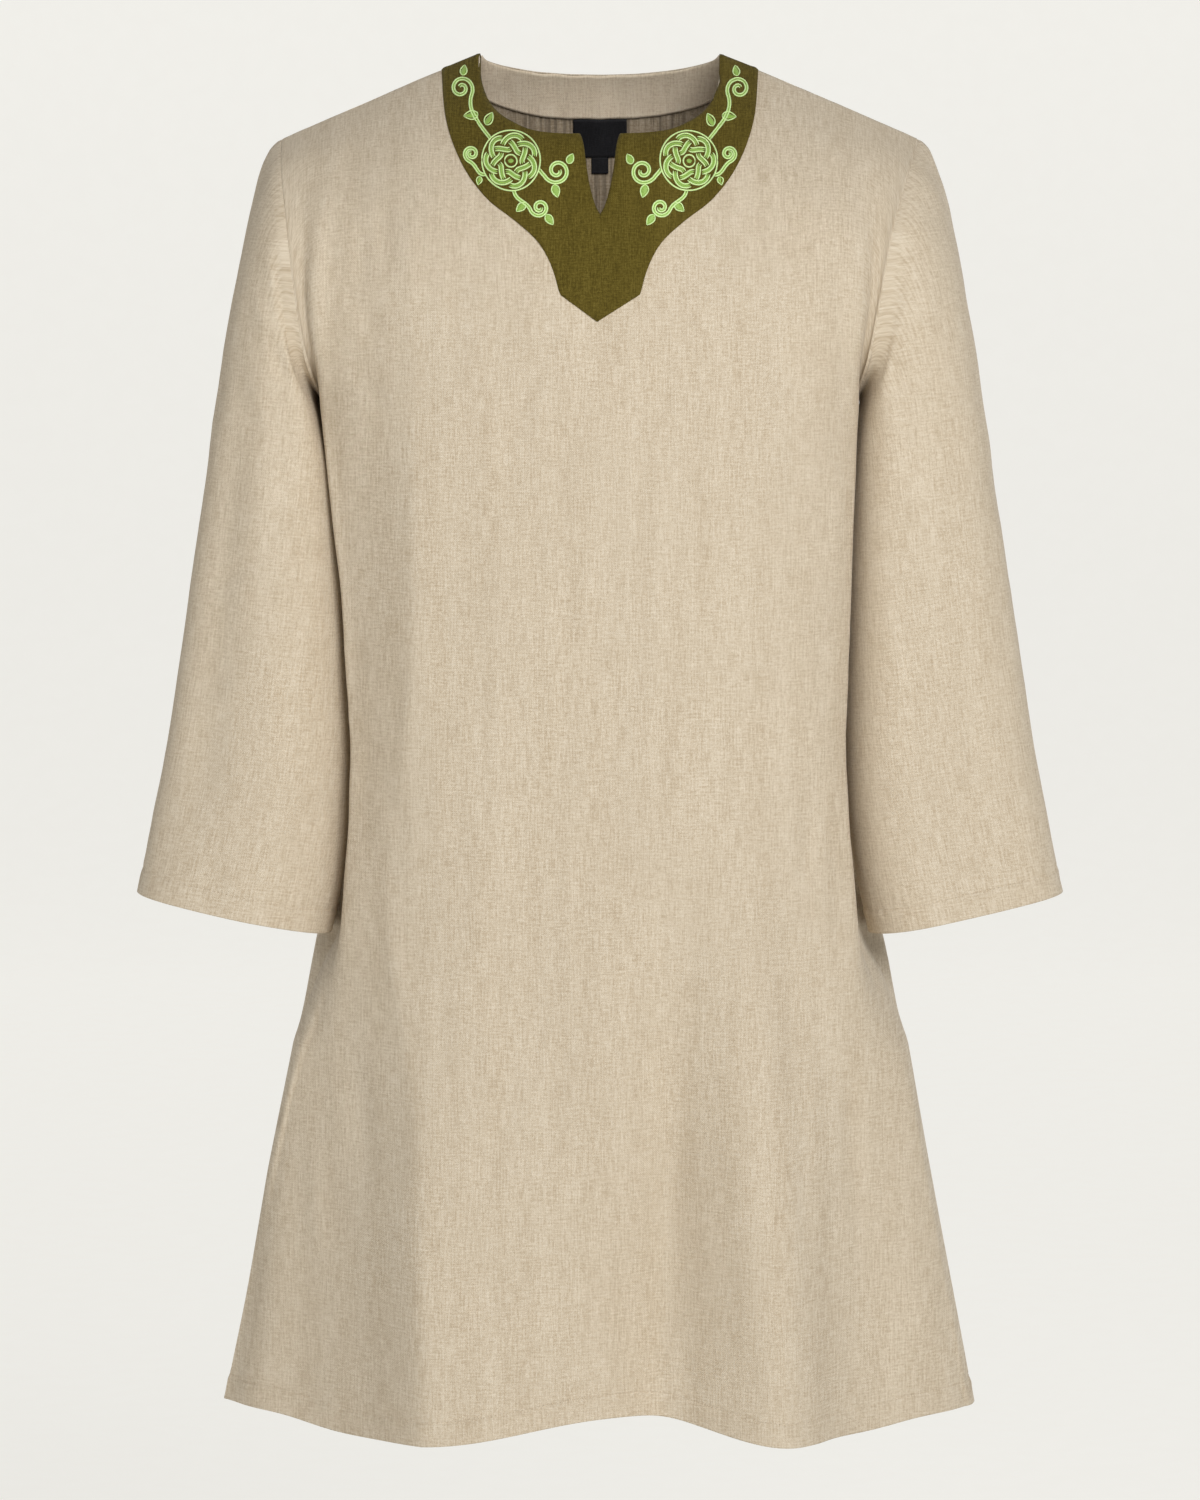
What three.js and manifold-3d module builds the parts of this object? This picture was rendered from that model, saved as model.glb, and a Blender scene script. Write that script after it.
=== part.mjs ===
// A knee-length linen tunic in a medieval cut, filled out as when it is worn, with nobody in it.
// Millimetres, +Z up. The front faces -Y, and +X is the wearer's left.
// The origin lies midway between the two neck points, where the shoulder seams meet the neckline.
// Each piece is a wall of cloth laid along a smooth surface: a front, a back, two sleeves,
// a shaped yoke on the front of the neck, a facing inside the back of the neck, a label and its tab.

import * as THREE from "three";
import { mergeVertices } from "three/addons/utils/BufferGeometryUtils.js";
import Module from "manifold-3d";

const manifold = await Module();
manifold.setup();

const DEGREE = Math.PI / 180;

// Walls of cloth, and the room between them.
const LINEN_WALL = 1.6;
const YOKE_WALL = 1.2;
const TRIM_WALL = 1.0;
const SEAM_GAP = 0.36;
const LAYER_GAP = 0.3;

// Neck, shoulders and underarms.
const NECK_HALF = 86;
const NECK_DROP = 2;
const FRONT_NECK_DROP = 57;
const FRONT_NECK_REACH = 84;
const BACK_NECK_DROP = 17;
const BACK_NECK_REACH = 58;
const SHOULDER_HALF = 228;
const SHOULDER_DROP = 62;
const SHOULDER_CURVE = 1.04;
const SEAM_Y = 6;
const UNDERARM_Z = -252;

// The crest that the front and back rise towards: how far it swells over the neck, how wide that
// swell is and how it bends, how it falls to the shoulders, and how the cloth leans up to it.
const CREST = { swell: 48, reach: 170, bend: 2.5, fall: 2.2, lean: 1.6 };

// How closely an armhole keeps its shape to itself, at the top and, added to that, at the bottom.
const ARMHOLE_HOLD = { top: 1.8, bottom: 2.5 };

// The slit below the neckline, open at rest.
const SLIT_HALF = 11.8;
const SLIT_FLARE = 3;
const SLIT_REACH = 60;

// Sections of the body from the underarm to the hem. right and left are half widths,
// front and back are depths from the side seams, and power is how square the section is.
const BODY_RINGS = [
  { z: -252, right: 209, left: 194, front: 122, back: 110, power: 2.7 },
  { z: -306, right: 203, left: 191, front: 122, back: 106, power: 2.8 },
  { z: -370, right: 196, left: 189, front: 121, back: 102, power: 2.8 },
  { z: -440, right: 192, left: 187, front: 119, back: 98, power: 2.8 },
  { z: -500, right: 190, left: 188, front: 118, back: 97, power: 2.7 },
  { z: -560, right: 194, left: 193, front: 119, back: 100, power: 2.6 },
  { z: -625, right: 206, left: 206, front: 122, back: 106, power: 2.5 },
  { z: -700, right: 219, left: 220, front: 126, back: 113, power: 2.3 },
  { z: -800, right: 239, left: 238, front: 133, back: 122, power: 2.2 },
  { z: -900, right: 257, left: 257, front: 139, back: 131, power: 2.1 },
  { z: -985, right: 275, left: 273, front: 146, back: 140, power: 2.1 },
];

// The hollow in each side where the arm hangs, from above the underarm to below the cuff. It is
// deep between a front and a back angle from the centre front, and rounded off over a corner.
const ARM_ROOM = [
  { z: -190, deep: 0, front: 76, back: 104 },
  { z: -252, deep: 14, front: 76, back: 104 },
  { z: -290, deep: 22, front: 76, back: 104 },
  { z: -340, deep: 21, front: 76, back: 104 },
  { z: -560, deep: 20, front: 75, back: 102 },
  { z: -625, deep: 21, front: 71, back: 92 },
  { z: -660, deep: 10, front: 70, back: 89 },
  { z: -710, deep: 0, front: 70, back: 88 },
];
const ARM_ROOM_CORNER = 16;

// Folds of the body. top and hem are the angles where a fold starts and ends, from the centre
// front, in degrees. It swells from start to full, stands out by out, and lowers the hem by drop.
const BODY_FOLDS = [
  { top: -43, hem: -27, spread: 13, start: -150, full: -420, out: 3, drop: 0 },
  { top: -32, hem: -24, spread: 11, start: -560, full: -960, out: 14, drop: 5 },
  { top: -54, hem: -42, spread: 9, start: -640, full: -960, out: 0, drop: 7 },
  { top: -70, hem: -62, spread: 9, start: -690, full: -960, out: 5, drop: 0 },
  { top: 0, hem: 3, spread: 13, start: -640, full: -960, out: -15, drop: -11 },
  { top: 14, hem: 11, spread: 7, start: -540, full: -840, out: -24, drop: 0 },
  { top: 31, hem: 26.5, spread: 7.5, start: -540, full: -920, out: 25, drop: 6 },
  { top: 50, hem: 43, spread: 8, start: -640, full: -950, out: -3, drop: 6 },
  { top: 68, hem: 62, spread: 10, start: -690, full: -960, out: 5, drop: 0 },
  { top: 128, hem: 122, spread: 9, start: -620, full: -960, out: -9, drop: 0 },
  { top: 146, hem: 143, spread: 10, start: -540, full: -960, out: 20, drop: 5 },
  { top: 168, hem: 166, spread: 9, start: -580, full: -960, out: -13, drop: -4 },
  { top: -172, hem: -170, spread: 9, start: -600, full: -960, out: 13, drop: 3 },
  { top: -154, hem: -151, spread: 8, start: -580, full: -960, out: -11, drop: -3 },
  { top: -136, hem: -131, spread: 10, start: -560, full: -960, out: 17, drop: 4 },
  { top: -116, hem: -112, spread: 9, start: -640, full: -960, out: -8, drop: 0 },
];
const HEM_Z = -974;

// Flat faces of the front, beside a ridge that lies across at the top and hem across at the hem,
// and swings outwards by bow between them. From the ridge the cloth falls back by slope for each
// millimetre, until it turns in at the side.
const FLAT_FACES = [
  { side: -1, across: 132, hem: 121, bow: 24, slope: 0.88, start: -200, full: -310 },
  { side: 1, across: 150, hem: 152, bow: 0, slope: 0.85, start: -640, full: -800 },
];
const FLAT_SHARE = { upper: 0.72, lower: 0.92, start: -620, full: -760 };
// A face whose slope is at least these shares of the slope down to the side seam runs on to that seam.
const FLAT_CORNER = { from: 0.75, to: 0.95, power: 24 };
const BOW = { z: -600, spread: 110 };

// One armhole, from the underarm (turn 0) over the front or the back to the shoulder (turn 180).
const ARMHOLE = [
  { turn: 0, right: 195, left: 180, front: 0, back: 0, z: -252 },
  { turn: 30, right: 201, left: 184, front: 34, back: 34, z: -239 },
  { turn: 60, right: 209, left: 191, front: 64, back: 62, z: -212 },
  { turn: 90, right: 216, left: 199, front: 73, back: 70, z: -165 },
  { turn: 120, right: 221, left: 207, front: 66, back: 62, z: -121 },
  { turn: 150, right: 226, left: 219, front: 38, back: 42, z: -84 },
  { turn: 180, right: 228, left: 228, front: -6, back: 6, z: -62 },
];

// Sections of a sleeve along its length, each between a point on its inner line, next to the
// body, and a point on its outer line. right and left are how far out the inner line is on each
// arm, middle is the depth where it lies, and front and back are depths from there.
const SLEEVE_RINGS = [
  { along: 0.0, right: 195, left: 180, innerZ: -252, outerX: 228, outerZ: -62, middle: 0, front: 70, back: 68 },
  { along: 0.04, right: 200, left: 185, innerZ: -247, outerX: 236, outerZ: -71, middle: 0, front: 71, back: 69 },
  { along: 0.1, right: 200, left: 186, innerZ: -253, outerX: 245, outerZ: -94, middle: -1, front: 70, back: 69 },
  { along: 0.18, right: 195, left: 182, innerZ: -271, outerX: 255, outerZ: -137, middle: -2, front: 67, back: 67 },
  { along: 0.3, right: 188, left: 179, innerZ: -308, outerX: 268, outerZ: -213, middle: -5, front: 61, back: 63 },
  { along: 0.5, right: 181, left: 176, innerZ: -400, outerX: 288, outerZ: -345, middle: -8, front: 56, back: 56 },
  { along: 0.75, right: 178, left: 176, innerZ: -515, outerX: 308, outerZ: -481, middle: -11, front: 52, back: 48 },
  { along: 0.9, right: 184, left: 184, innerZ: -585, outerX: 322, outerZ: -551, middle: -12, front: 51, back: 46 },
  { along: 1.0, right: 194, left: 194, innerZ: -629, outerX: 332, outerZ: -600, middle: -12, front: 51, back: 46 },
];
const SLEEVE_SQUARENESS = 2.6;

// Folds along the sleeves. turn runs from the inner line (0) over the front (90) to the outer
// line (180) and the back (270).
const SLEEVE_FOLDS = [
  { arm: "right", turn: 126, spread: 17, start: 0.2, full: 0.45, fade: 0.8, gone: 1.05, out: -6 },
  { arm: "right", turn: 84, spread: 22, start: 0.3, full: 0.6, fade: 1.1, gone: 1.3, out: 4 },
  { arm: "right", turn: 240, spread: 20, start: 0.25, full: 0.5, fade: 0.9, gone: 1.2, out: -6 },
  { arm: "left", turn: 62, spread: 20, start: 0.15, full: 0.45, fade: 0.95, gone: 1.3, out: 5 },
  { arm: "left", turn: 122, spread: 24, start: 0.2, full: 0.5, fade: 1.0, gone: 1.3, out: -4 },
  { arm: "left", turn: 232, spread: 20, start: 0.25, full: 0.5, fade: 0.9, gone: 1.2, out: -6 },
];

// The outer edge of the yoke, from the corner beside its tip up to the shoulder seam, as
// distances across from the centre and down from the neck points.
const YOKE_TIP = { across: -2, down: 187 };
const YOKE_EDGE = [
  { across: 28, down: 168 },
  { across: 34, down: 148 },
  { across: 43, down: 132 },
  { across: 58, down: 118 },
  { across: 79, down: 102 },
  { across: 96, down: 80 },
  { across: 108, down: 50 },
  { across: 113, down: 11 },
];

// The lower edge of the facing inside the back of the neck, from the centre to the shoulder seam.
const FACING_EDGE = [
  { across: 0, down: 48 },
  { across: 37, down: 46.5 },
  { across: 72, down: 38.5 },
  { across: 98, down: 23 },
  { across: 114, down: 5 },
];

// The label below the facing, and the size tab below the label.
const LABEL = { half: 19.5, top: 48.3, bottom: 76 };
const TAB = { half: 6, top: 76.3, bottom: 88 };

// How finely the surfaces are laid out in flat faces.
const NECK_STEPS = 7;
const SHOULDER_STEPS = 11;
const NECK_SHARE = 0.25;
const SKIRT_STEPS = 17;
const UPPER_ROWS = [0, 0.08, 0.16, 0.24, 0.36, 0.48, 0.6, 0.68, 0.76, 0.84, 0.92, 1];
const SLIT_ROW = 6;
const SLEEVE_ROWS = [
  0, 0.02, 0.04, 0.07, 0.1, 0.14, 0.18, 0.24, 0.3, 0.37, 0.44, 0.51, 0.58, 0.65, 0.72, 0.79, 0.86, 0.93, 1,
];
const CURVE_STEPS = 2;

// Small pieces of mathematics.

function mix(a, b, share) {
  return a + (b - a) * share;
}

function ease(from, to, at) {
  const share = THREE.MathUtils.clamp((at - from) / (to - from), 0, 1);
  return share * share * (3 - 2 * share);
}

function bell(distance, spread) {
  return Math.exp(-((distance / spread) ** 2));
}

// 0 at both ends of a share, flat at its start, and 1 at its highest, at two thirds.
function hump(share) {
  return 6.75 * share ** 2 * (1 - share);
}

// An angle in degrees brought to between -180 and 180.
function wrapped(angle) {
  return ((((angle + 180) % 360) + 360) % 360) - 180;
}

// A table's row at a place between its rows, with a cubic curve through each column of numbers.
function rowAt(table, key, place) {
  const last = table.length - 1;
  const [start, end] = [table[0][key], table[last][key]];
  const falls = end < start;
  const at = THREE.MathUtils.clamp(place, Math.min(start, end), Math.max(start, end));
  let i = 0;
  while (i < last - 1 && (falls ? at < table[i + 1][key] : at > table[i + 1][key])) i++;
  const [a, b] = [table[i], table[i + 1]];
  const step = b[key] - a[key];
  const t = (at - a[key]) / step;
  const slope = (n, column) => {
    const [before, after] = [table[Math.max(n - 1, 0)], table[Math.min(n + 1, last)]];
    return ((after[column] - before[column]) / (after[key] - before[key])) * step;
  };
  const row = {};
  for (const column of Object.keys(a)) {
    const [rise, fall] = [slope(i, column), slope(i + 1, column)];
    const bend = a[column] - b[column];
    row[column] = a[column] + t * (rise + t * (-3 * bend - 2 * rise - fall + t * (2 * bend + rise + fall)));
  }
  return row;
}

// How far each coordinate of a closed curve is stretched to make an ellipse squarer.
function fullness(across, along, power) {
  return (Math.abs(across) ** power + Math.abs(along) ** power) ** (-1 / power);
}

// The body below the underarms.

function bodyFolds(round, z) {
  const side = Math.abs(wrapped(round));
  const { deep, front, back } = rowAt(ARM_ROOM, "z", z);
  const before = ease(front - ARM_ROOM_CORNER, front, side);
  const behind = ease(back, back + ARM_ROOM_CORNER, side);
  let out = -deep * before * (1 - behind);
  for (const fold of BODY_FOLDS) {
    const at = mix(fold.top, fold.hem, THREE.MathUtils.clamp((z - fold.start) / (HEM_Z - fold.start), 0, 1));
    out += fold.out * ease(fold.start, fold.full, z) * bell(wrapped(round - at), fold.spread);
  }
  return out;
}

// How far the flat faces set a point of the front back.
function faceShift(x, z, ring) {
  let shift = 0;
  for (const face of FLAT_FACES) {
    const wide = face.side < 0 ? ring.right : ring.left;
    const down = THREE.MathUtils.clamp((z - face.start) / (HEM_Z - face.start), 0, 1);
    const ridge = mix(face.across, face.hem, down) + face.bow * bell(z - BOW.z, BOW.spread);
    const away = face.side * x - ridge;
    if (away <= 0) continue;
    const depth = (at) => ring.front * (1 - Math.min(at / wide, 1) ** ring.power) ** (1 / ring.power);
    const sideward = away / (wide - ridge);
    const steepest = depth(ridge) / (wide - ridge);
    const meets = ease(FLAT_CORNER.from, FLAT_CORNER.to, face.slope / steepest);
    const flat = depth(ridge) - Math.min(face.slope, FLAT_CORNER.to * steepest) * away;
    const corner = 1 - meets * sideward ** FLAT_CORNER.power;
    const turned = mix(FLAT_SHARE.upper, FLAT_SHARE.lower, ease(FLAT_SHARE.start, FLAT_SHARE.full, z));
    const share = mix(1 - ease(turned, 1, sideward), 1, meets);
    shift += (depth(face.side * x) - flat * corner) * share * ease(face.start, face.full, z);
  }
  return shift;
}

// A point on the body's section at a height. round is in degrees: 0 at the centre front,
// 90 and -90 at the side seams, 180 at the centre back.
function bodyRing(round, z) {
  const ring = rowAt(BODY_RINGS, "z", z);
  const [across, along] = [Math.sin(round * DEGREE), Math.cos(round * DEGREE)];
  const full = fullness(across, along, ring.power);
  const wide = across < 0 ? ring.right : ring.left;
  const deep = along > 0 ? ring.front : ring.back;
  const outward = new THREE.Vector3(across / wide, -along / deep, 0).normalize();
  const point = new THREE.Vector3(wide * across * full, -deep * along * full, z);
  if (along > 0) point.y += faceShift(point.x, z, ring);
  return point.addScaledVector(outward, bodyFolds(round, z));
}

function hemHeight(round) {
  let z = HEM_Z;
  for (const fold of BODY_FOLDS) z -= fold.drop * bell(wrapped(round - fold.hem), fold.spread * 1.3);
  return z;
}

// The body above the underarms. A half is the front or the back of the garment: facing is 1 in
// front and -1 behind. across runs from the wearer's right edge (-1) to the left one (1).

const FRONT = {
  facing: 1,
  round: (across) => 90 * across,
  neckDrop: FRONT_NECK_DROP,
  neckReach: -FRONT_NECK_REACH,
  neckSquareness: 3,
  reachPower: 1.2,
  dropPower: 1,
  neckPull: 3.3,
  chestSwell: -13,
  shoulderSwell: -8,
  armholeDepth: (row) => -row.front,
};
const BACK = {
  facing: -1,
  round: (across) => 180 - 90 * across,
  neckDrop: BACK_NECK_DROP,
  neckReach: BACK_NECK_REACH,
  neckSquareness: 2,
  reachPower: 1,
  dropPower: 1.2,
  neckPull: 7,
  chestSwell: 16,
  shoulderSwell: 6,
  armholeDepth: (row) => row.back,
};

function chestEdge(half, across) {
  return bodyRing(half.round(across), UNDERARM_Z);
}

// The underarm point on one side, 1 for the wearer's left and -1 for the right.
function underarm(side) {
  return bodyRing(90 * side, UNDERARM_Z);
}

function neckline(half, across) {
  const turn = 90 * DEGREE * (1 - Math.abs(across) / NECK_SHARE);
  const [wide, low] = [Math.cos(turn), Math.sin(turn)];
  const full = fullness(wide, low, half.neckSquareness);
  const drop = (low * full) ** half.dropPower;
  const reach = (low * full) ** half.reachPower;
  return new THREE.Vector3(
    Math.sign(across) * NECK_HALF * wide * full,
    SEAM_Y + half.neckReach * reach,
    -mix(NECK_DROP, half.neckDrop, drop),
  );
}

function shoulderSeam(across) {
  const share = (Math.abs(across) - NECK_SHARE) / (1 - NECK_SHARE);
  return new THREE.Vector3(
    Math.sign(across) * mix(NECK_HALF, SHOULDER_HALF, share),
    SEAM_Y,
    -mix(NECK_DROP, SHOULDER_DROP, share ** SHOULDER_CURVE),
  );
}

function topEdge(half, across) {
  return Math.abs(across) < NECK_SHARE ? neckline(half, across) : shoulderSeam(across);
}

// The armhole's edge on one half and side, from the underarm (up 0) to the shoulder (up 1).
function armhole(half, side, up) {
  const row = rowAt(ARMHOLE, "turn", 180 * up);
  const wide = side < 0 ? row.right : row.left;
  const seam = side < 0 ? ARMHOLE[0].right : ARMHOLE[0].left;
  const shift = (Math.abs(underarm(side).x) - seam) * (1 - ease(0, 1, up));
  return new THREE.Vector3(side * (wide + shift), half.armholeDepth(row), row.z);
}

// A smooth line over the shoulders and across the neck, which the cloth heads for from below.
function crestLine(half, across) {
  const x = SHOULDER_HALF * Math.sin(90 * DEGREE * across);
  const outward = Math.abs(x) / SHOULDER_HALF;
  const swell = (1 - Math.min(Math.abs(x) / CREST.reach, 1) ** 2) ** CREST.bend;
  return new THREE.Vector3(
    x,
    SEAM_Y - half.facing * CREST.swell * swell,
    -mix(NECK_DROP, SHOULDER_DROP, outward ** CREST.fall),
  );
}

function loft(half, across, up) {
  const [bottom, top] = [chestEdge(half, across), crestLine(half, across)];
  return new THREE.Vector3(
    mix(bottom.x, top.x, up),
    mix(bottom.y, top.y, up ** CREST.lean),
    mix(bottom.z, top.z, up),
  );
}

function upperPoint(half, across, up) {
  const side = across < 0 ? -1 : 1;
  const edgeward = Math.abs(across) ** (ARMHOLE_HOLD.top + ARMHOLE_HOLD.bottom * (1 - up) ** 3);
  const point = loft(half, across, up);
  const [edge, seam] = [loft(half, side, up), armhole(half, side, up)];
  point.x *= seam.x / edge.x;
  point.y += (seam.y - edge.y) * edgeward;
  point.z += (seam.z - edge.z) * edgeward;
  point.addScaledVector(topEdge(half, across).sub(crestLine(half, across)), up ** half.neckPull);
  point.y += half.chestSwell * hump(up) * (1 - edgeward);
  point.y += half.shoulderSwell * hump(up) * hump(1 - Math.abs(across));
  return point;
}

// Half the width of the slit at a height, 0 below its lower end.
function slitHalf(up) {
  const share = (up - UPPER_ROWS[SLIT_ROW]) / (1 - UPPER_ROWS[SLIT_ROW]);
  if (share <= 0) return 0;
  return SLIT_HALF * (1 - (1 - share) ** 2.4) ** 0.62 + SLIT_FLARE * share ** 6;
}

// A point on a half. down is 0 from the underarm up and 1 at the hem, up is 0 at the underarm
// and 1 at the shoulder. The front opens at the slit, and side says which lip of it is meant.
function halfPoint(half, across, up, down = 0, side = Math.sign(across)) {
  if (down > 0) {
    const round = half.round(across);
    return bodyRing(round, mix(UNDERARM_Z, hemHeight(round), down));
  }
  const point = upperPoint(half, across, up);
  if (half === FRONT && Math.abs(point.x) < SLIT_REACH) {
    const open = slitHalf(up);
    point.x = side * (open + Math.abs(point.x) * (1 - open / SLIT_REACH));
  }
  return point;
}

// The sleeves.

function sleeveFolds(arm, turn, along) {
  let out = 0;
  for (const fold of SLEEVE_FOLDS) {
    if (fold.arm !== arm) continue;
    const swell = ease(fold.start, fold.full, along) * (1 - ease(fold.fade, fold.gone, along));
    out += fold.out * swell * bell(wrapped(turn - fold.turn), fold.spread);
  }
  return out;
}

// A point on a sleeve. side is 1 for the wearer's left arm and -1 for the right.
function sleeveRing(side, turn, along) {
  const row = rowAt(SLEEVE_RINGS, "along", along);
  const [inward, forward] = [Math.cos(turn * DEGREE), Math.sin(turn * DEGREE)];
  const full = fullness(inward, forward, SLEEVE_SQUARENESS);
  const innerX = side < 0 ? row.right : row.left;
  const half = new THREE.Vector3((row.outerX - innerX) / 2, 0, (row.outerZ - row.innerZ) / 2);
  const deep = forward > 0 ? row.front : row.back;
  const point = new THREE.Vector3((row.outerX + innerX) / 2, row.middle, (row.outerZ + row.innerZ) / 2);
  const outward = half.clone().normalize().multiplyScalar(-inward / half.length());
  outward.y = -forward / deep;
  point.addScaledVector(half, -inward * full);
  point.y -= forward * full * deep;
  point.addScaledVector(outward.normalize(), sleeveFolds(side > 0 ? "left" : "right", turn, along));
  point.x *= side;
  return point;
}

function sleevePoint(side, turn, along) {
  const point = sleeveRing(side, turn, along);
  const half = turn <= 180 ? FRONT : BACK;
  const seam = armhole(half, side, turn <= 180 ? turn / 180 : (360 - turn) / 180);
  const keep = 1 - ease(0, 0.3, along);
  return point.addScaledVector(seam.sub(sleeveRing(side, turn, 0)), keep);
}

// Cloth as a grid of points, and then as a closed wall.

// A sheet keeps its points, its four-sided faces seen from outside, and the index of each point by name.
class Sheet {
  points = [];
  faces = [];
  index = new Map();

  add(name, point) {
    this.index.set(name, this.points.length);
    this.points.push(point);
  }

  // A face is split in two between its first and third corners.
  face(names, turned) {
    const [a, b, c, d] = names.map((name) => this.index.get(name));
    this.faces.push(turned ? [a, d, c, b] : [a, b, c, d]);
  }

  at(name) {
    return this.index.get(name);
  }

  // Gives each point a normal, the mean of those of its faces.
  findNormals() {
    this.normals = this.points.map(() => new THREE.Vector3());
    for (const [a, b, c, d] of this.faces) {
      const [pa, pb, pc, pd] = [a, b, c, d].map((i) => this.points[i]);
      const normal = pc.clone().sub(pa).cross(pd.clone().sub(pb));
      for (const i of [a, b, c, d]) this.normals[i].add(normal);
    }
    for (const normal of this.normals) normal.normalize();
  }

  // The edges that only one of the faces has, each from point to point with its face on the left.
  rim(faces) {
    const edges = new Map();
    for (const face of faces) {
      face.forEach((from, n) => {
        const to = face[(n + 1) % 4];
        if (!edges.delete(`${to},${from}`)) edges.set(`${from},${to}`, [from, to]);
      });
    }
    return [...edges.values()];
  }

  // Moves the free edges inwards along the cloth.
  inset(distance) {
    const moves = new Map();
    for (const [from, to] of this.rim(this.faces)) {
      const normal = this.normals[from].clone().add(this.normals[to]);
      const inward = normal.cross(this.points[to].clone().sub(this.points[from])).normalize();
      for (const i of [from, to]) moves.set(i, [...(moves.get(i) ?? []), inward]);
    }
    for (const [i, [one, other]] of moves) {
      const step = distance / (1 + one.dot(other));
      this.points[i].addScaledVector(one, step).addScaledVector(other, step);
    }
  }

  // A closed wall: the faces moved out and in by half the thickness about an offset from the
  // sheet, joined along their free edges. Only the faces whose points are all kept take part.
  wall(thickness, offset = 0, keeps = () => true) {
    const count = this.points.length;
    const corners = [offset + thickness / 2, offset - thickness / 2].flatMap((out) =>
      this.points.map((point, i) => point.clone().addScaledVector(this.normals[i], out)),
    );
    const faces = this.faces.filter((face) => face.every((i) => keeps(this.points[i])));
    const triangles = [];
    for (const [a, b, c, d] of faces) {
      triangles.push([a, b, c], [a, c, d]);
      triangles.push([a + count, c + count, b + count], [a + count, d + count, c + count]);
    }
    for (const [from, to] of this.rim(faces)) {
      triangles.push([from, from + count, to + count], [from, to + count, to]);
    }
    const geometry = new THREE.BufferGeometry();
    geometry.setFromPoints(triangles.flat().map((i) => corners[i]));
    geometry.computeVertexNormals();
    return geometry;
  }
}

const ACROSS = [];
for (let n = -SHOULDER_STEPS - NECK_STEPS; n <= SHOULDER_STEPS + NECK_STEPS; n++) {
  const steps = Math.abs(n);
  const share =
    steps <= NECK_STEPS
      ? (NECK_SHARE * steps) / NECK_STEPS
      : mix(NECK_SHARE, 1, (steps - NECK_STEPS) / SHOULDER_STEPS);
  ACROSS.push(Math.sign(n) * share);
}
const LAST = ACROSS.length - 1;
const CENTRE = LAST / 2;
const TOP = SKIRT_STEPS + UPPER_ROWS.length - 1;

// The front or the back. Points are named row,column from the hem up and from the wearer's
// right; on the slit, the left lip's points have an l after them.
function halfSheet(half) {
  const sheet = new Sheet();
  const slitFrom = SKIRT_STEPS + SLIT_ROW;
  for (let row = 0; row <= TOP; row++) {
    const down = Math.max(1 - row / SKIRT_STEPS, 0);
    const up = row > SKIRT_STEPS ? UPPER_ROWS[row - SKIRT_STEPS] : 0;
    for (let column = 0; column <= LAST; column++) {
      const across = ACROSS[column];
      const side = column <= CENTRE ? -1 : 1;
      sheet.add(`${row},${column}`, halfPoint(half, across, up, down, side));
      if (half === FRONT && column === CENTRE && row > slitFrom) {
        sheet.add(`${row},${column}l`, halfPoint(half, across, up, down, 1));
      }
    }
  }
  for (let row = 0; row < TOP; row++) {
    for (let column = 0; column < LAST; column++) {
      const lip = (r) => (half === FRONT && column === CENTRE && r > slitFrom ? "l" : "");
      const corners = [
        `${row},${column}${lip(row)}`,
        `${row},${column + 1}`,
        `${row + 1},${column + 1}`,
        `${row + 1},${column}${lip(row + 1)}`,
      ];
      if (column >= CENTRE) corners.push(corners.shift());
      sheet.face(corners, half === BACK);
    }
  }
  sheet.findNormals();
  sheet.inset(SEAM_GAP / 2);
  return sheet;
}

// A sleeve, with points named ring,step. Its steps round the armhole meet the rows of the body.
function sleeveSheet(side) {
  const sheet = new Sheet();
  const turns = [...UPPER_ROWS, ...UPPER_ROWS.slice(1, -1).reverse().map((up) => 2 - up)].map((up) => 180 * up);
  SLEEVE_ROWS.forEach((along, ring) => {
    turns.forEach((turn, step) => sheet.add(`${ring},${step}`, sleevePoint(side, turn, along)));
  });
  for (let ring = 0; ring < SLEEVE_ROWS.length - 1; ring++) {
    for (let step = 0; step < turns.length; step++) {
      const next = (step + 1) % turns.length;
      const corners = [`${ring},${step}`, `${ring + 1},${step}`, `${ring + 1},${next}`, `${ring},${next}`];
      sheet.face(corners, side < 0);
    }
  }
  sheet.findNormals();
  sheet.inset(SEAM_GAP / 2);
  return sheet;
}

// Points of several sheets that meet in a seam share one normal, so their edges stand parallel.
// It is lengthened so that the walls keep their thickness at a bend.
function shareNormals(meetings) {
  for (const meeting of meetings) {
    const normals = meeting.map(([sheet, name]) => sheet.normals[sheet.at(name)]);
    const shared = new THREE.Vector3();
    for (const normal of normals) shared.add(normal);
    shared.normalize();
    const bend = Math.min(...normals.map((normal) => normal.dot(shared)));
    shared.divideScalar(Math.max(bend, 0.7));
    meeting.forEach(([sheet, name]) => (sheet.normals[sheet.at(name)] = shared));
  }
}

// The seams between the front, the back and the two sleeves, as lists of points that meet.
function seams(front, back, sleeves) {
  const meetings = [];
  const shoulderStep = UPPER_ROWS.length - 1;
  for (const [side, column] of [
    [-1, 0],
    [1, LAST],
  ]) {
    for (let row = 0; row <= TOP; row++) {
      const name = `${row},${column}`;
      const up = row - SKIRT_STEPS;
      if (up < 0) meetings.push([[front, name], [back, name]]);
      else if (up === 0 || up === shoulderStep) meetings.push([[front, name], [back, name], [sleeves[side], `0,${up}`]]);
      else {
        meetings.push([[front, name], [sleeves[side], `0,${up}`]]);
        meetings.push([[back, name], [sleeves[side], `0,${2 * shoulderStep - up}`]]);
      }
    }
  }
  for (let column = 1; column < LAST; column++) {
    if (Math.abs(ACROSS[column]) >= NECK_SHARE) {
      meetings.push([[front, `${TOP},${column}`], [back, `${TOP},${column}`]]);
    }
  }
  return meetings;
}

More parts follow.
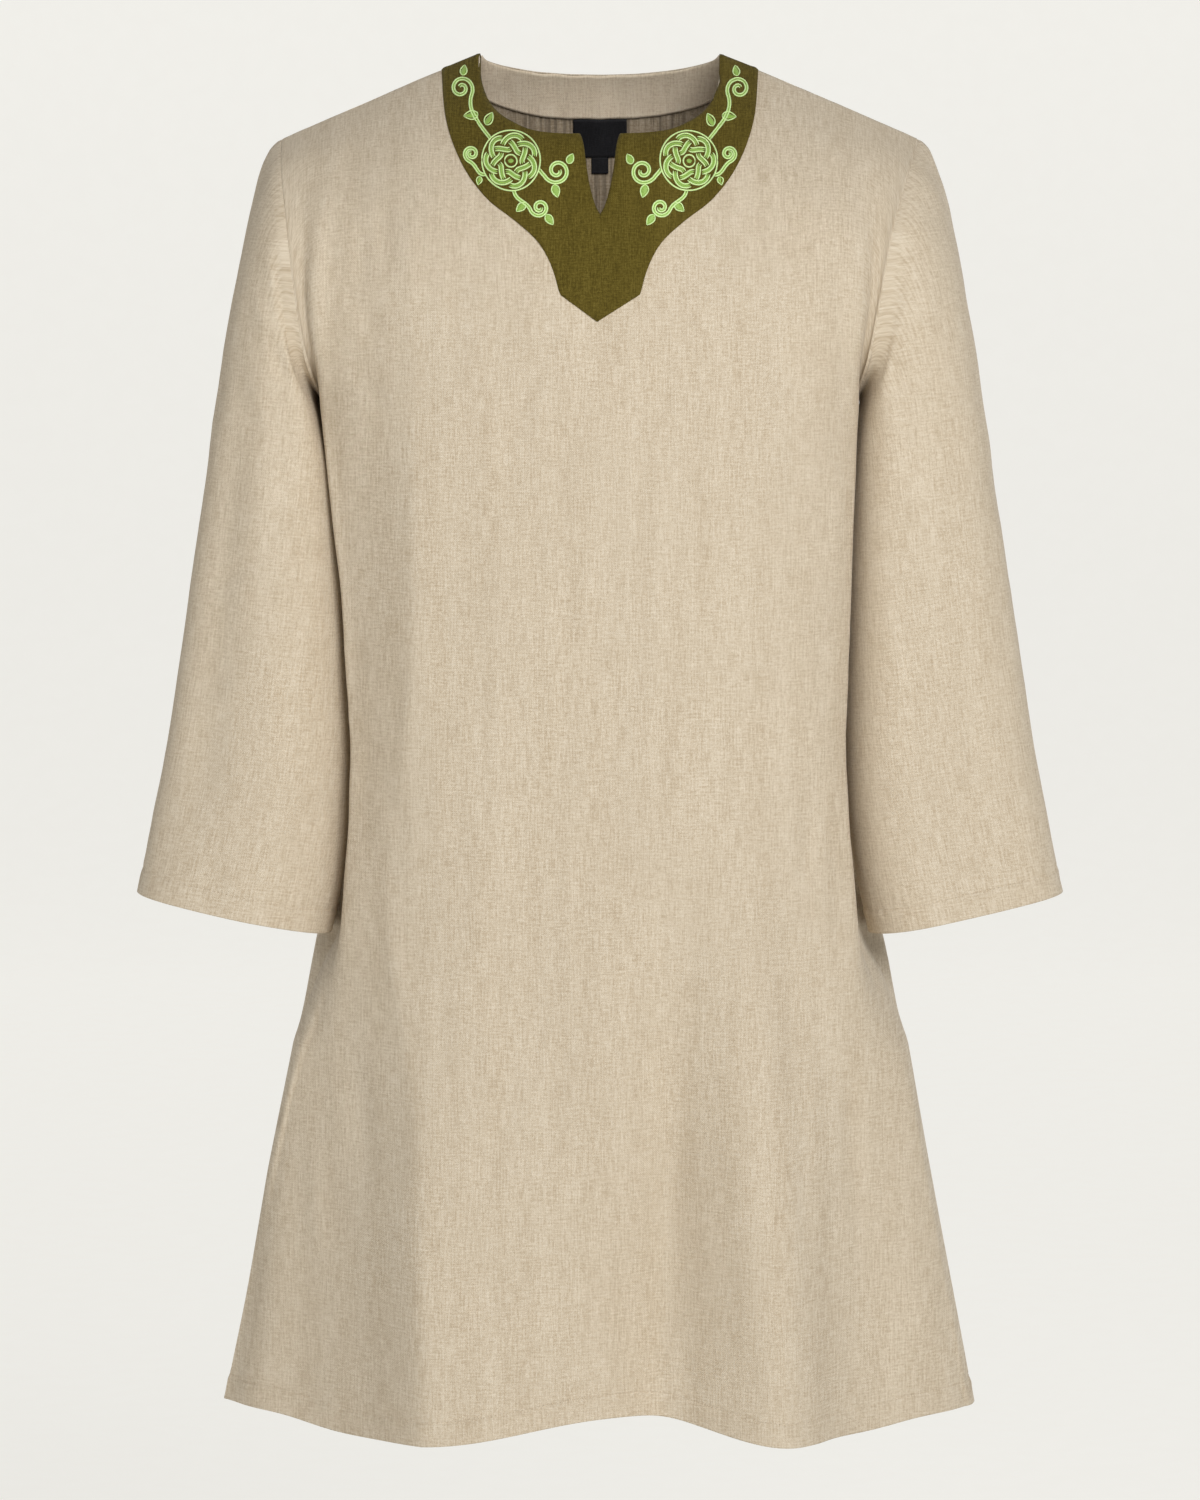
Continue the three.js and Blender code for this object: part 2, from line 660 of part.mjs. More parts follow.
// Pieces laid on the front or the back, each cut to its outline from a wall parallel to it.

const REACH = 250;

function solid(geometry) {
  const bare = new THREE.BufferGeometry();
  bare.setAttribute("position", geometry.getAttribute("position"));
  if (geometry.index) bare.setIndex(geometry.index);
  const merged = mergeVertices(bare);
  const [vertProperties, triVerts] = [merged.getAttribute("position").array, Uint32Array.from(merged.index.array)];
  return new manifold.Manifold(new manifold.Mesh({ numProp: 3, vertProperties, triVerts }));
}

function geometryOf(body) {
  const { numProp, vertProperties, triVerts } = body.getMesh();
  const geometry = new THREE.BufferGeometry();
  const corners = Array.from(triVerts, (i) => new THREE.Vector3().fromArray(vertProperties, i * numProp));
  geometry.setFromPoints(corners);
  geometry.computeVertexNormals();
  return geometry;
}

// The part of a layer that lies within an outline drawn in x and z.
function cutOut(layer, half, outline) {
  const block = new THREE.ExtrudeGeometry(outline, { depth: REACH, bevelEnabled: false, curveSegments: CURVE_STEPS });
  block.rotateX(90 * DEGREE);
  block.translate(0, half === FRONT ? 2 * SEAM_Y : REACH, 0);
  return geometryOf(solid(layer).intersect(solid(block)));
}

// A shape above a lower edge, which is given from the centre to the wearer's left.
function shapeAbove(edge, tip) {
  const left = edge.map(({ across, down }) => new THREE.Vector2(across, -down));
  const right = left.map((point) => new THREE.Vector2(-point.x, point.y)).reverse();
  const shape = new THREE.Shape();
  const [first, last] = [right[0], left[left.length - 1]];
  shape.moveTo(first.x, first.y);
  shape.splineThru(right.slice(1));
  if (tip) shape.lineTo(tip.across, -tip.down);
  if (tip) shape.lineTo(left[0].x, left[0].y);
  shape.splineThru(left.slice(1));
  shape.lineTo(last.x, REACH);
  shape.lineTo(first.x, REACH);
  shape.closePath();
  return shape;
}

function rectangle({ half, top, bottom }) {
  const corners = [[-half, -bottom], [half, -bottom], [half, -top], [-half, -top]];
  return new THREE.Shape(corners.map(([x, z]) => new THREE.Vector2(x, z)));
}

const NEAR_NECK = (point) => point.z > -REACH && Math.abs(point.x) < SHOULDER_HALF - 40;
const YOKE_OFFSET = LINEN_WALL / 2 + LAYER_GAP + YOKE_WALL / 2;
const LINING_OFFSET = -(LINEN_WALL / 2 + LAYER_GAP + TRIM_WALL / 2);

function yoke(front) {
  return cutOut(front.wall(YOKE_WALL, YOKE_OFFSET, NEAR_NECK), FRONT, shapeAbove(YOKE_EDGE, YOKE_TIP));
}

function lining(back, outline) {
  return cutOut(back.wall(TRIM_WALL, LINING_OFFSET, NEAR_NECK), BACK, outline);
}

// A sleeve, trimmed so that it stays clear of the panels beside its seam.
function clearSleeve(sleeve, panels) {
  let body = solid(sleeve.wall(LINEN_WALL));
  for (const panel of panels) body = body.subtract(solid(panel.wall(LINEN_WALL + 2 * LAYER_GAP)));
  const [largest] = body.decompose().sort((one, other) => other.volume() - one.volume());
  return geometryOf(largest);
}

// Assembly.

const LINEN = { color: 0xcdbb9a, roughness: 0.92, metalness: 0 };
const OLIVE = { color: 0x61541f, roughness: 0.9, metalness: 0 };
const BLACK = { color: 0x0b0b0d, roughness: 0.7, metalness: 0 };

function mesh(name, geometry, finish) {
  const piece = new THREE.Mesh(geometry, new THREE.MeshStandardMaterial(finish));
  piece.name = name;
  return piece;
}

const front = halfSheet(FRONT);
const back = halfSheet(BACK);
const sleeves = { [-1]: sleeveSheet(-1), 1: sleeveSheet(1) };
shareNormals(seams(front, back, sleeves));

const tunic = new THREE.Group();
tunic.name = "tunic";
tunic.add(
  mesh("front", front.wall(LINEN_WALL), LINEN),
  mesh("back", back.wall(LINEN_WALL), LINEN),
  mesh("sleeve_right", clearSleeve(sleeves[-1], [front, back]), LINEN),
  mesh("sleeve_left", clearSleeve(sleeves[1], [front, back]), LINEN),
  mesh("yoke", yoke(front), OLIVE),
  mesh("back_neck_facing", lining(back, shapeAbove(FACING_EDGE)), LINEN),
  mesh("neck_label", lining(back, rectangle(LABEL)), BLACK),
  mesh("size_tab", lining(back, rectangle(TAB)), BLACK),
);

export default tunic;
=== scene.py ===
"""A linen tunic in a medieval cut, filled out as when it is worn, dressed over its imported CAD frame.

Lengths are in millimetres until a mesh is made, which is in metres. +Z is up, the front faces -Y,
and +X is the wearer's left. The origin lies midway between the two neck points.
"""

import math

import bpy
import numpy as np
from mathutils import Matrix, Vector


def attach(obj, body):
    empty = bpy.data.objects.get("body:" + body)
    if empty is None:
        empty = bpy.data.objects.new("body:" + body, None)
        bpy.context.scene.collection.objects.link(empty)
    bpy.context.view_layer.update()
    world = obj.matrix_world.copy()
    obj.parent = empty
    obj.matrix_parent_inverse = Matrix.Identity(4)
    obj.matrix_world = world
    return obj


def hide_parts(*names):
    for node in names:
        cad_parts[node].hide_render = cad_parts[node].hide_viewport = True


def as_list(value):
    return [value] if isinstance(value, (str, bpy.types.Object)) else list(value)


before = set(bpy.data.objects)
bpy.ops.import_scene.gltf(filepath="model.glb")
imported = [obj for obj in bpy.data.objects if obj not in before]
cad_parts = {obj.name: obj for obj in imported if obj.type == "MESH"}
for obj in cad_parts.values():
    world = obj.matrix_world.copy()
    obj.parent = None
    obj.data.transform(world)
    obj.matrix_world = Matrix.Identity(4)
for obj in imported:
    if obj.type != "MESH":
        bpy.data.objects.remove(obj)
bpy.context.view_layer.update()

MM = 0.001
SEED = 7

# The cut of the tunic, from the same sizes as the CAD source.
NECK_HALF = 86
NECK_DROP = 2
SHOULDER_HALF = 228
SHOULDER_DROP = 62
SHOULDER_CURVE = 1.04
NECK_SHARE = 0.25
SEAM_Y = 6
UNDERARM_Z = -252
HEM_Z = -974
SLIT_UP = 0.6
SLIT_HALF = 11.8
SLIT_FLARE = 3
SLIT_REACH = 60
ARM_ROOM_CORNER = 16
SLEEVE_SQUARENESS = 2.6
CREST = {"swell": 48, "reach": 170, "bend": 2.5, "fall": 2.2, "lean": 1.6}
ARMHOLE_HOLD = {"top": 1.8, "bottom": 2.5}


def table(names, *rows):
    """Rows of numbers as one array for each named column."""
    return {name: np.array(column, float) for name, column in zip(names.split(), zip(*rows))}


BODY_RINGS = table(
    "z right left front back power",
    (-252, 209, 194, 122, 110, 2.7),
    (-306, 203, 191, 122, 106, 2.8),
    (-370, 196, 189, 121, 102, 2.8),
    (-440, 192, 187, 119, 98, 2.8),
    (-500, 190, 188, 118, 97, 2.7),
    (-560, 194, 193, 119, 100, 2.6),
    (-625, 206, 206, 122, 106, 2.5),
    (-700, 219, 220, 126, 113, 2.3),
    (-800, 239, 238, 133, 122, 2.2),
    (-900, 257, 257, 139, 131, 2.1),
    (-985, 275, 273, 146, 140, 2.1),
)
ARM_ROOM = table(
    "z deep front back",
    (-190, 0, 76, 104),
    (-252, 14, 76, 104),
    (-290, 22, 76, 104),
    (-340, 21, 76, 104),
    (-560, 20, 75, 102),
    (-625, 21, 71, 92),
    (-660, 10, 70, 89),
    (-710, 0, 70, 88),
)
# Folds of the body: the angles where a fold starts and ends, its spread, the heights where it
# starts and is full, how far it stands out, and how far it lowers the hem.
BODY_FOLDS = table(
    "top hem spread start full out drop",
    (-43, -27, 13, -150, -420, 3, 0),
    (-32, -24, 11, -560, -960, 14, 5),
    (-54, -42, 9, -640, -960, 0, 7),
    (-70, -62, 9, -690, -960, 5, 0),
    (0, 3, 13, -640, -960, -15, -11),
    (14, 11, 7, -540, -840, -24, 0),
    (31, 26.5, 7.5, -540, -920, 25, 6),
    (50, 43, 8, -640, -950, -3, 6),
    (68, 62, 10, -690, -960, 5, 0),
    (128, 122, 9, -620, -960, -9, 0),
    (146, 143, 10, -540, -960, 20, 5),
    (168, 166, 9, -580, -960, -13, -4),
    (-172, -170, 9, -600, -960, 13, 3),
    (-154, -151, 8, -580, -960, -11, -3),
    (-136, -131, 10, -560, -960, 17, 4),
    (-116, -112, 9, -640, -960, -8, 0),
)
# Flat faces of the front beside a ridge: the ridge's place at the top and at the hem, how far it
# swings outwards between them, how far the cloth falls back from it for each millimetre, and the
# heights where the face starts and is full.
FLAT_FACES = table(
    "side across hem bow slope start full",
    (-1, 132, 121, 24, 0.88, -200, -310),
    (1, 150, 152, 0, 0.85, -640, -800),
)
FLAT_SHARE = {"upper": 0.72, "lower": 0.92, "start": -620, "full": -760}
# A face whose slope is at least these shares of the slope down to the side seam runs on to that seam.
FLAT_CORNER = {"from": 0.75, "to": 0.95, "power": 24}
BOW = {"z": -600, "spread": 110}
# How much wider a fold lowers the hem than it stands out.
HEM_SPREAD = 1.3
ARMHOLE = table(
    "turn right left front back z",
    (0, 195, 180, 0, 0, -252),
    (30, 201, 184, 34, 34, -239),
    (60, 209, 191, 64, 62, -212),
    (90, 216, 199, 73, 70, -165),
    (120, 221, 207, 66, 62, -121),
    (150, 226, 219, 38, 42, -84),
    (180, 228, 228, -6, 6, -62),
)
SLEEVE_RINGS = table(
    "along right left innerZ outerX outerZ middle front back",
    (0.0, 195, 180, -252, 228, -62, 0, 70, 68),
    (0.04, 200, 185, -247, 236, -71, 0, 71, 69),
    (0.1, 200, 186, -253, 245, -94, -1, 70, 69),
    (0.18, 195, 182, -271, 255, -137, -2, 67, 67),
    (0.3, 188, 179, -308, 268, -213, -5, 61, 63),
    (0.5, 181, 176, -400, 288, -345, -8, 56, 56),
    (0.75, 178, 176, -515, 308, -481, -11, 52, 48),
    (0.9, 184, 184, -585, 322, -551, -12, 51, 46),
    (1.0, 194, 194, -629, 332, -600, -12, 51, 46),
)
# Folds along the sleeves, for each arm: -1 is the wearer's right one, 1 the left one.
SLEEVE_FOLDS = table(
    "arm turn spread start full fade gone out",
    (-1, 126, 17, 0.2, 0.45, 0.8, 1.05, -6),
    (-1, 84, 22, 0.3, 0.6, 1.1, 1.3, 4),
    (-1, 240, 20, 0.25, 0.5, 0.9, 1.2, -6),
    (1, 62, 20, 0.15, 0.45, 0.95, 1.3, 5),
    (1, 122, 24, 0.2, 0.5, 1.0, 1.3, -4),
    (1, 232, 20, 0.25, 0.5, 0.9, 1.2, -6),
)
YOKE_TIP = (-2, 187)
YOKE_EDGE = table(
    "across down", (28, 168), (34, 148), (43, 132), (58, 118), (79, 102), (96, 80), (108, 50), (113, 11)
)
FACING_EDGE = table("across down", (0, 48), (37, 46.5), (72, 38.5), (98, 23), (114, 5))
LABEL = {"half": 19.5, "top": 48.3, "bottom": 76}
TAB = {"half": 6, "top": 76.3, "bottom": 88}

# Creases of the front and the back, each from one place to another: wide is how far it spreads,
# out how far it stands out, and bend how far its middle swings aside.
CREASE_NAMES = "x z to_x to_z wide out bend"
FRONT_CREASES = table(
    CREASE_NAMES,
    (-151, -95, -147, -158, 6, -1.4, 3),
    (-168, -112, -170, -178, 5, -1.1, -2),
    (-134, -78, -130, -128, 5, -0.9, 2),
    (-186, -150, -150, -196, 6, -1.3, 4),
    (-182, -190, -140, -262, 7, -1.1, 6),
    (44, -196, 41, -262, 9, -1.3, 0),
    (127, -160, 131, -300, 12, -1.4, 5),
    (96, -205, 100, -330, 10, -1.0, -4),
    (-60, -230, -66, -330, 10, -0.9, 3),
    (12, -300, 8, -420, 11, -0.8, 3),
    (-92, -793, -29, -769, 2.4, -0.8, 0),
    (-90, -788, -31, -765, 3, 0.6, 0),
    (-8, -846, 52, -868, 3.5, 0.9, -7),
    (14, -868, 60, -884, 3, 0.7, -5),
    (35, -586, 68, -590, 2, -0.5, 0),
    (-150, -610, -118, -700, 8, 1.0, 4),
    (-178, -700, -166, -830, 9, -1.5, -5),
    (-205, -760, -196, -880, 8, 1.3, 3),
    (176, -700, 190, -860, 10, -1.4, 4),
    (60, -905, 66, -958, 6, -0.9, 0),
    (-40, -880, -52, -950, 9, -1.1, 2),
    (-160, -500, -128, -560, 5, -1.0, 3),
    (158, -480, 136, -600, 9, -1.2, -4),
)
BACK_CREASES = table(
    CREASE_NAMES,
    (150, -112, 145, -184, 6, -1.3, 3),
    (174, -150, 136, -206, 6, -1.2, -4),
    (-146, -104, -142, -172, 6, -1.2, -3),
    (-178, -165, -138, -236, 7, -1.2, 4),
    (-50, -240, -57, -362, 10, -1.0, 3),
    (62, -222, 68, -345, 11, -1.1, -3),
    (8, -420, 2, -560, 11, -0.9, 3),
    (-122, -590, -108, -720, 9, 1.1, 4),
    (118, -556, 130, -700, 9, -1.2, -4),
    (-84, -782, -30, -762, 2.5, -0.8, 0),
    (40, -852, 98, -836, 3, 0.8, 5),
    (170, -700, 187, -862, 10, -1.4, 4),
    (-176, -722, -190, -866, 10, 1.4, -3),
    (-2, -884, 6, -952, 8, -1.0, 2),
    (-108, -862, -126, -948, 9, -1.1, 2),
    (92, -884, 101, -950, 7, 0.9, -2),
    (-18, -113, 18, -112, 1.6, -0.6, 0),
)
# Creases of each sleeve's front (face 1) and back (face -1).
SLEEVE_CREASES = table(
    "arm face " + CREASE_NAMES,
    (-1, 1, -244, -152, -222, -226, 7, 2.4, 3),
    (-1, 1, -236, -188, -216, -240, 5, -2.0, 2),
    (-1, 1, -262, -210, -236, -280, 8, -1.4, 4),
    (-1, 1, -290, -380, -240, -352, 7, -1.1, 4),
    (-1, 1, -297, -470, -250, -440, 8, 1.0, 5),
    (-1, 1, -226, -430, -216, -520, 6, -1.2, 0),
    (-1, -1, -240, -200, -214, -262, 7, -1.8, 3),
    (-1, -1, -286, -372, -230, -350, 7, -1.5, 5),
    (-1, -1, -296, -442, -236, -420, 8, 1.3, 4),
    (1, 1, 224, -192, 207, -246, 6, -2.0, 3),
    (1, 1, 240, -150, 224, -214, 7, 1.8, 2),
    (1, 1, 286, -420, 238, -396, 7, -1.0, -4),
    (1, 1, 301, -500, 262, -470, 8, 1.0, -3),
    (1, 1, 223, -420, 215, -520, 6, -1.1, 0),
    (1, -1, 242, -190, 213, -256, 7, -1.7, -3),
    (1, -1, 288, -382, 232, -352, 7, -1.5, -5),
    (1, -1, 301, -452, 240, -430, 8, 1.2, -4),
)
# How cloth rolls beside the lower half of an armhole: how far out it stands, how far from the seam,
# and how wide the roll spreads.
PANEL_ROLL = {"out": 0.8, "far": 8, "wide": 8}
SLEEVE_ROLL = {"out": -3.0, "far": 13, "wide": 12}
# Gathers of the back below the facing.
GATHERS = {"wave": 6.2, "out": 0.45, "half": 78, "deep": 120}

# The embroidery on the wearer's left: a knot of one strand in a ring, vines that end in a curl,
# and leaves. Angles are in degrees, anticlockwise from the wearer's left.
KNOT = {"x": 62, "z": -76, "radius": 12.6, "swing": 4.9, "rounds": 3, "waves": 7, "ring": 20.4, "eye": 4.2}
VINES = table(
    "x z lean centre_x centre_z radius start hand",
    (76.3, -61.1, 50, 98, -27, 8.5, 200, -1),
    (42.2, -82, 240, 30, -83, 9, -35, -1),
    (60, -96.6, 260, 42, -108, 6.5, -20, -1),
    (80, -86, -10, 90, -72, 5.5, -70, 1),
)
LEAVES = table(
    "x z turn long wide",
    (79.5, -52, 118, 9.5, 3),
    (86, -45, -8, 10, 3),
    (97, -18, 100, 7.5, 2.4),
    (22.6, -78, 118, 7.5, 2.4),
    (32, -92.5, -105, 9, 2.7),
    (52, -105, -42, 8.5, 2.6),
    (37.5, -113, -125, 8.5, 2.5),
    (83.5, -87.5, -75, 6, 2),
)
# The strand crosses itself where it comes this near to itself, this many steps away.
CROSSING = {"near": 0.7, "steps": 12}
# Bands of thread: the width of a band's outer lines, how far they lie from its middle, the width and
# height of what fills it, and the gap where one passes below another.
BAND = {"line": 1.15, "apart": 1.35, "fill": 1.6, "high": 0.55, "gap": 2.3}
VINE = {"line": 1.1, "apart": 0.85, "fill": 0.8, "high": 0.5}

# Cloth and sewing.
LINEN_THICK = 0.9
YOKE_THICK = 0.8
HEM_DEEP = 17
STITCH = {"long": 2.3, "gap": 0.9, "radius": 0.2}


# Small pieces of mathematics.


def mix(a, b, share):
    return a + (b - a) * share


def ease(start, end, at):
    share = np.clip((at - start) / (end - start), 0, 1)
    return share * share * (3 - 2 * share)


def bell(distance, spread):
    return np.exp(-((distance / spread) ** 2))


def hump(share):
    return 6.75 * share**2 * (1 - share)


def wrapped(angle):
    return (angle + 180) % 360 - 180


def row_at(rows, key, place):
    """A table's columns at places between its rows, along a cubic curve through each column."""
    order = np.argsort(rows[key])
    keys = rows[key][order]
    count = len(keys)
    at = np.clip(place, keys[0], keys[-1])
    i = np.clip(np.searchsorted(keys, at, side="right") - 1, 0, count - 2)
    step = keys[i + 1] - keys[i]
    t = (at - keys[i]) / step
    before = np.maximum(np.arange(count) - 1, 0)
    after = np.minimum(np.arange(count) + 1, count - 1)
    found = {}
    for name, column in rows.items():
        values = column[order]
        slopes = (values[after] - values[before]) / (keys[after] - keys[before])
        rise, fall = slopes[i] * step, slopes[i + 1] * step
        bend = values[i] - values[i + 1]
        square, cube = -3 * bend - 2 * rise - fall, 2 * bend + rise + fall
        found[name] = values[i] + t * (rise + t * (square + t * cube))
    return found


def fullness(across, along, power):
    return (np.abs(across) ** power + np.abs(along) ** power) ** (-1 / power)


def stacked(x, y, z):
    return np.stack(np.broadcast_arrays(x, y, z), axis=-1)


def unit(vectors):
    return vectors / np.maximum(np.linalg.norm(vectors, axis=-1, keepdims=True), 1e-12)


def ripples(u, v, long, flat, seed, count=7):
    """A smooth random field of waves about long mm apart. flat stretches them along v."""
    random = np.random.default_rng(seed)
    angles = random.uniform(0, math.pi, count)
    phases = random.uniform(0, 2 * math.pi, count)
    sizes = random.uniform(0.7, 1.5, count)
    total = 0
    for angle, phase, size in zip(angles, phases, sizes):
        reach = 2 * math.pi / (long * size)
        total = total + np.sin(reach * (u * math.cos(angle) + v * math.sin(angle) / flat) + phase)
    return total / math.sqrt(count)


# The body below the underarms.


def body_folds(around, z):
    side = np.abs(wrapped(around))
    room = row_at(ARM_ROOM, "z", z)
    before = ease(room["front"] - ARM_ROOM_CORNER, room["front"], side)
    behind = ease(room["back"], room["back"] + ARM_ROOM_CORNER, side)
    out = -room["deep"] * before * (1 - behind)
    for top, hem, spread, start, full, stand, _ in zip(*BODY_FOLDS.values()):
        at = mix(top, hem, np.clip((z - start) / (HEM_Z - start), 0, 1))
        out = out + stand * ease(start, full, z) * bell(wrapped(around - at), spread)
    return out


def face_shift(x, z, ring):
    shift = 0 * x
    for side, top, hem, bow, slope, start, full in zip(*FLAT_FACES.values()):
        wide = ring["right"] if side < 0 else ring["left"]
        ridge = mix(top, hem, np.clip((z - start) / (HEM_Z - start), 0, 1))
        ridge = ridge + bow * bell(z - BOW["z"], BOW["spread"])
        away = side * x - ridge
        power = ring["power"]
        depth = ring["front"] * (1 - np.clip(side * x / wide, 0, 1) ** power) ** (1 / power)
        at_ridge = ring["front"] * (1 - (ridge / wide) ** power) ** (1 / power)
        sideward, steepest = np.clip(away / (wide - ridge), 0, 1), at_ridge / (wide - ridge)
        meets = ease(FLAT_CORNER["from"], FLAT_CORNER["to"], slope / steepest)
        flat = at_ridge - np.minimum(slope, FLAT_CORNER["to"] * steepest) * away
        corner = 1 - meets * sideward ** FLAT_CORNER["power"]
        lower = ease(FLAT_SHARE["start"], FLAT_SHARE["full"], z)
        share = mix(1 - ease(mix(FLAT_SHARE["upper"], FLAT_SHARE["lower"], lower), 1, sideward), 1, meets)
        shift = shift + np.where(away > 0, (depth - flat * corner) * share * ease(start, full, z), 0)
    return shift


def body_ring(around, z):
    ring = row_at(BODY_RINGS, "z", z)
    across, along = np.sin(np.radians(around)), np.cos(np.radians(around))
    full = fullness(across, along, ring["power"])
    wide = np.where(across < 0, ring["right"], ring["left"])
    deep = np.where(along > 0, ring["front"], ring["back"])
    outward = unit(stacked(across / wide, -along / deep, 0 * full))
    point = stacked(wide * across * full, -deep * along * full, z)
    point[..., 1] += np.where(along > 0, face_shift(point[..., 0], z, ring), 0)
    return point + outward * body_folds(around, z)[..., None]


def hem_height(around):
    z = HEM_Z + 0 * around
    for hem, spread, drop in zip(BODY_FOLDS["hem"], BODY_FOLDS["spread"], BODY_FOLDS["drop"]):
        z = z - drop * bell(wrapped(around - hem), spread * HEM_SPREAD)
    return z


# The body above the underarms. facing is 1 for the front and -1 for the back.


class Half:
    def __init__(self, facing, **shape):
        self.facing = facing
        self.__dict__.update(shape)

    def around(self, across):
        return 90 * across if self.facing > 0 else 180 - 90 * across


FRONT = Half(
    1,
    neck_drop=57,
    neck_reach=-84,
    neck_square=3,
    reach_power=1.2,
    drop_power=1,
    neck_pull=3.3,
    chest_swell=-13,
    shoulder_swell=-8,
)
BACK = Half(
    -1,
    neck_drop=17,
    neck_reach=58,
    neck_square=2,
    reach_power=1,
    drop_power=1.2,
    neck_pull=7,
    chest_swell=16,
    shoulder_swell=6,
)


def top_edge(half, across):
    """The neckline up to the neck points, and the shoulder seams beyond them."""
    away = np.abs(across)
    turn = math.pi / 2 * (1 - np.minimum(away / NECK_SHARE, 1))
    wide, low = np.cos(turn), np.sin(turn)
    full = fullness(wide, low, half.neck_square)
    drop, reach = (low * full) ** half.drop_power, (low * full) ** half.reach_power
    share = np.clip((away - NECK_SHARE) / (1 - NECK_SHARE), 0, 1)
    in_neck = away < NECK_SHARE
    x = np.where(in_neck, NECK_HALF * wide * full, mix(NECK_HALF, SHOULDER_HALF, share))
    y = SEAM_Y + np.where(in_neck, half.neck_reach * reach, 0)
    z = -np.where(
        in_neck, mix(NECK_DROP, half.neck_drop, drop), mix(NECK_DROP, SHOULDER_DROP, share**SHOULDER_CURVE)
    )
    return stacked(np.sign(across) * x, y, z)


def armhole(half, side, up):
    row = row_at(ARMHOLE, "turn", 180 * up)
    wide = np.where(side < 0, row["right"], row["left"])
    seam = np.where(side < 0, ARMHOLE["right"][0], ARMHOLE["left"][0])
    low = body_ring(90.0 * side, UNDERARM_Z + 0 * up)[..., 0]
    shift = (np.abs(low) - seam) * (1 - ease(0, 1, up))
    depth = -row["front"] if half.facing > 0 else row["back"]
    return stacked(side * (wide + shift), depth, row["z"])


def crest_line(half, across):
    x = SHOULDER_HALF * np.sin(math.pi / 2 * across)
    outward = np.abs(x) / SHOULDER_HALF
    swell = (1 - np.minimum(np.abs(x) / CREST["reach"], 1) ** 2) ** CREST["bend"]
    drop = mix(NECK_DROP, SHOULDER_DROP, outward ** CREST["fall"])
    return stacked(x, SEAM_Y - half.facing * CREST["swell"] * swell, -drop)


def loft(half, across, up):
    bottom = body_ring(half.around(across), UNDERARM_Z + 0 * across)
    top = crest_line(half, across)
    shares = (up, up ** CREST["lean"], up)
    return stacked(*(mix(bottom[..., n], top[..., n], share) for n, share in enumerate(shares)))


def upper_point(half, across, up):
    side = np.where(across < 0, -1.0, 1.0)
    away = np.abs(across)
    edgeward = away ** (ARMHOLE_HOLD["top"] + ARMHOLE_HOLD["bottom"] * (1 - up) ** 3)
    point = loft(half, across, up)
    edge, seam = loft(half, side, up), armhole(half, side, up)
    point[..., 0] *= seam[..., 0] / edge[..., 0]
    point[..., 1] += (seam[..., 1] - edge[..., 1]) * edgeward
    point[..., 2] += (seam[..., 2] - edge[..., 2]) * edgeward
    point += (top_edge(half, across) - crest_line(half, across)) * (up**half.neck_pull)[..., None]
    point[..., 1] += half.chest_swell * hump(up) * (1 - edgeward)
    point[..., 1] += half.shoulder_swell * hump(up) * hump(1 - away)
    return point


def slit_half(up):
    share = np.clip((up - SLIT_UP) / (1 - SLIT_UP), 0, 1)
    return SLIT_HALF * (1 - (1 - share) ** 2.4) ** 0.62 + SLIT_FLARE * share**6


def half_point(half, across, down, up, side):
    """A point on a half: down is 0 to 1 from the underarm to the hem, up is 0 to 1 to the shoulder."""
    around = half.around(across)
    skirt = body_ring(around, mix(UNDERARM_Z, hem_height(around), down))
    upper = upper_point(half, across, up)
    if half.facing > 0:
        x = upper[..., 0]
        away = np.abs(x)
        opened = slit_half(up)
        near = side * (opened + away * (1 - opened / SLIT_REACH))
        upper[..., 0] = np.where(away < SLIT_REACH, near, x)
    return np.where((down > 0)[..., None], skirt, upper)


# The sleeves.


def sleeve_ring(side, turn, along):
    row = row_at(SLEEVE_RINGS, "along", along)
    inward, forward = np.cos(np.radians(turn)), np.sin(np.radians(turn))
    full = fullness(inward, forward, SLEEVE_SQUARENESS)
    inner = row["right"] if side < 0 else row["left"]
    half = stacked((row["outerX"] - inner) / 2, 0, (row["outerZ"] - row["innerZ"]) / 2)
    size = np.linalg.norm(half, axis=-1)
    deep = np.where(forward > 0, row["front"], row["back"])
    outward = unit(half) * (-inward / size)[..., None]
    outward[..., 1] = -forward / deep
    folds = 0
    for arm, at, spread, start, full_at, fade, gone, out in zip(*SLEEVE_FOLDS.values()):
        if arm == side:
            swell = ease(start, full_at, along) * (1 - ease(fade, gone, along))
            folds = folds + out * swell * bell(wrapped(turn - at), spread)
    point = stacked((row["outerX"] + inner) / 2, row["middle"], (row["outerZ"] + row["innerZ"]) / 2)
    point = point - half * (inward * full)[..., None] + unit(outward) * (folds + 0 * full)[..., None]
    point[..., 1] -= forward * full * deep
    point[..., 0] *= side
    return point


def sleeve_point(side, turn, along):
    point = sleeve_ring(side, turn, along)
    start = sleeve_ring(side, turn, 0 * along)
    in_front = turn <= 180
    up = np.where(in_front, turn / 180, (360 - turn) / 180)
    seam = np.where(in_front[..., None], armhole(FRONT, 1.0 * side, up), armhole(BACK, 1.0 * side, up))
    return point + (seam - start) * (1 - ease(0, 0.3, along))[..., None]


# Grids of points, and the meshes made from them.


def ringed(grid):
    """A closed grid with a column more at each end, from round the ring. Its first and last are the same."""
    return np.concatenate([grid[:, -2:-1], grid, grid[:, 1:2]], axis=1)


def grid_normals(points, closed=False):
    """Normals of a grid of rows and columns, from the differences of its points."""
    if closed:
        ring = ringed(points)
        along_columns = ring[:, 2:] - ring[:, :-2]
    else:
        along_columns = np.gradient(points, axis=1)
    along_rows = np.gradient(points, axis=0)
    return unit(np.cross(along_columns, along_rows))


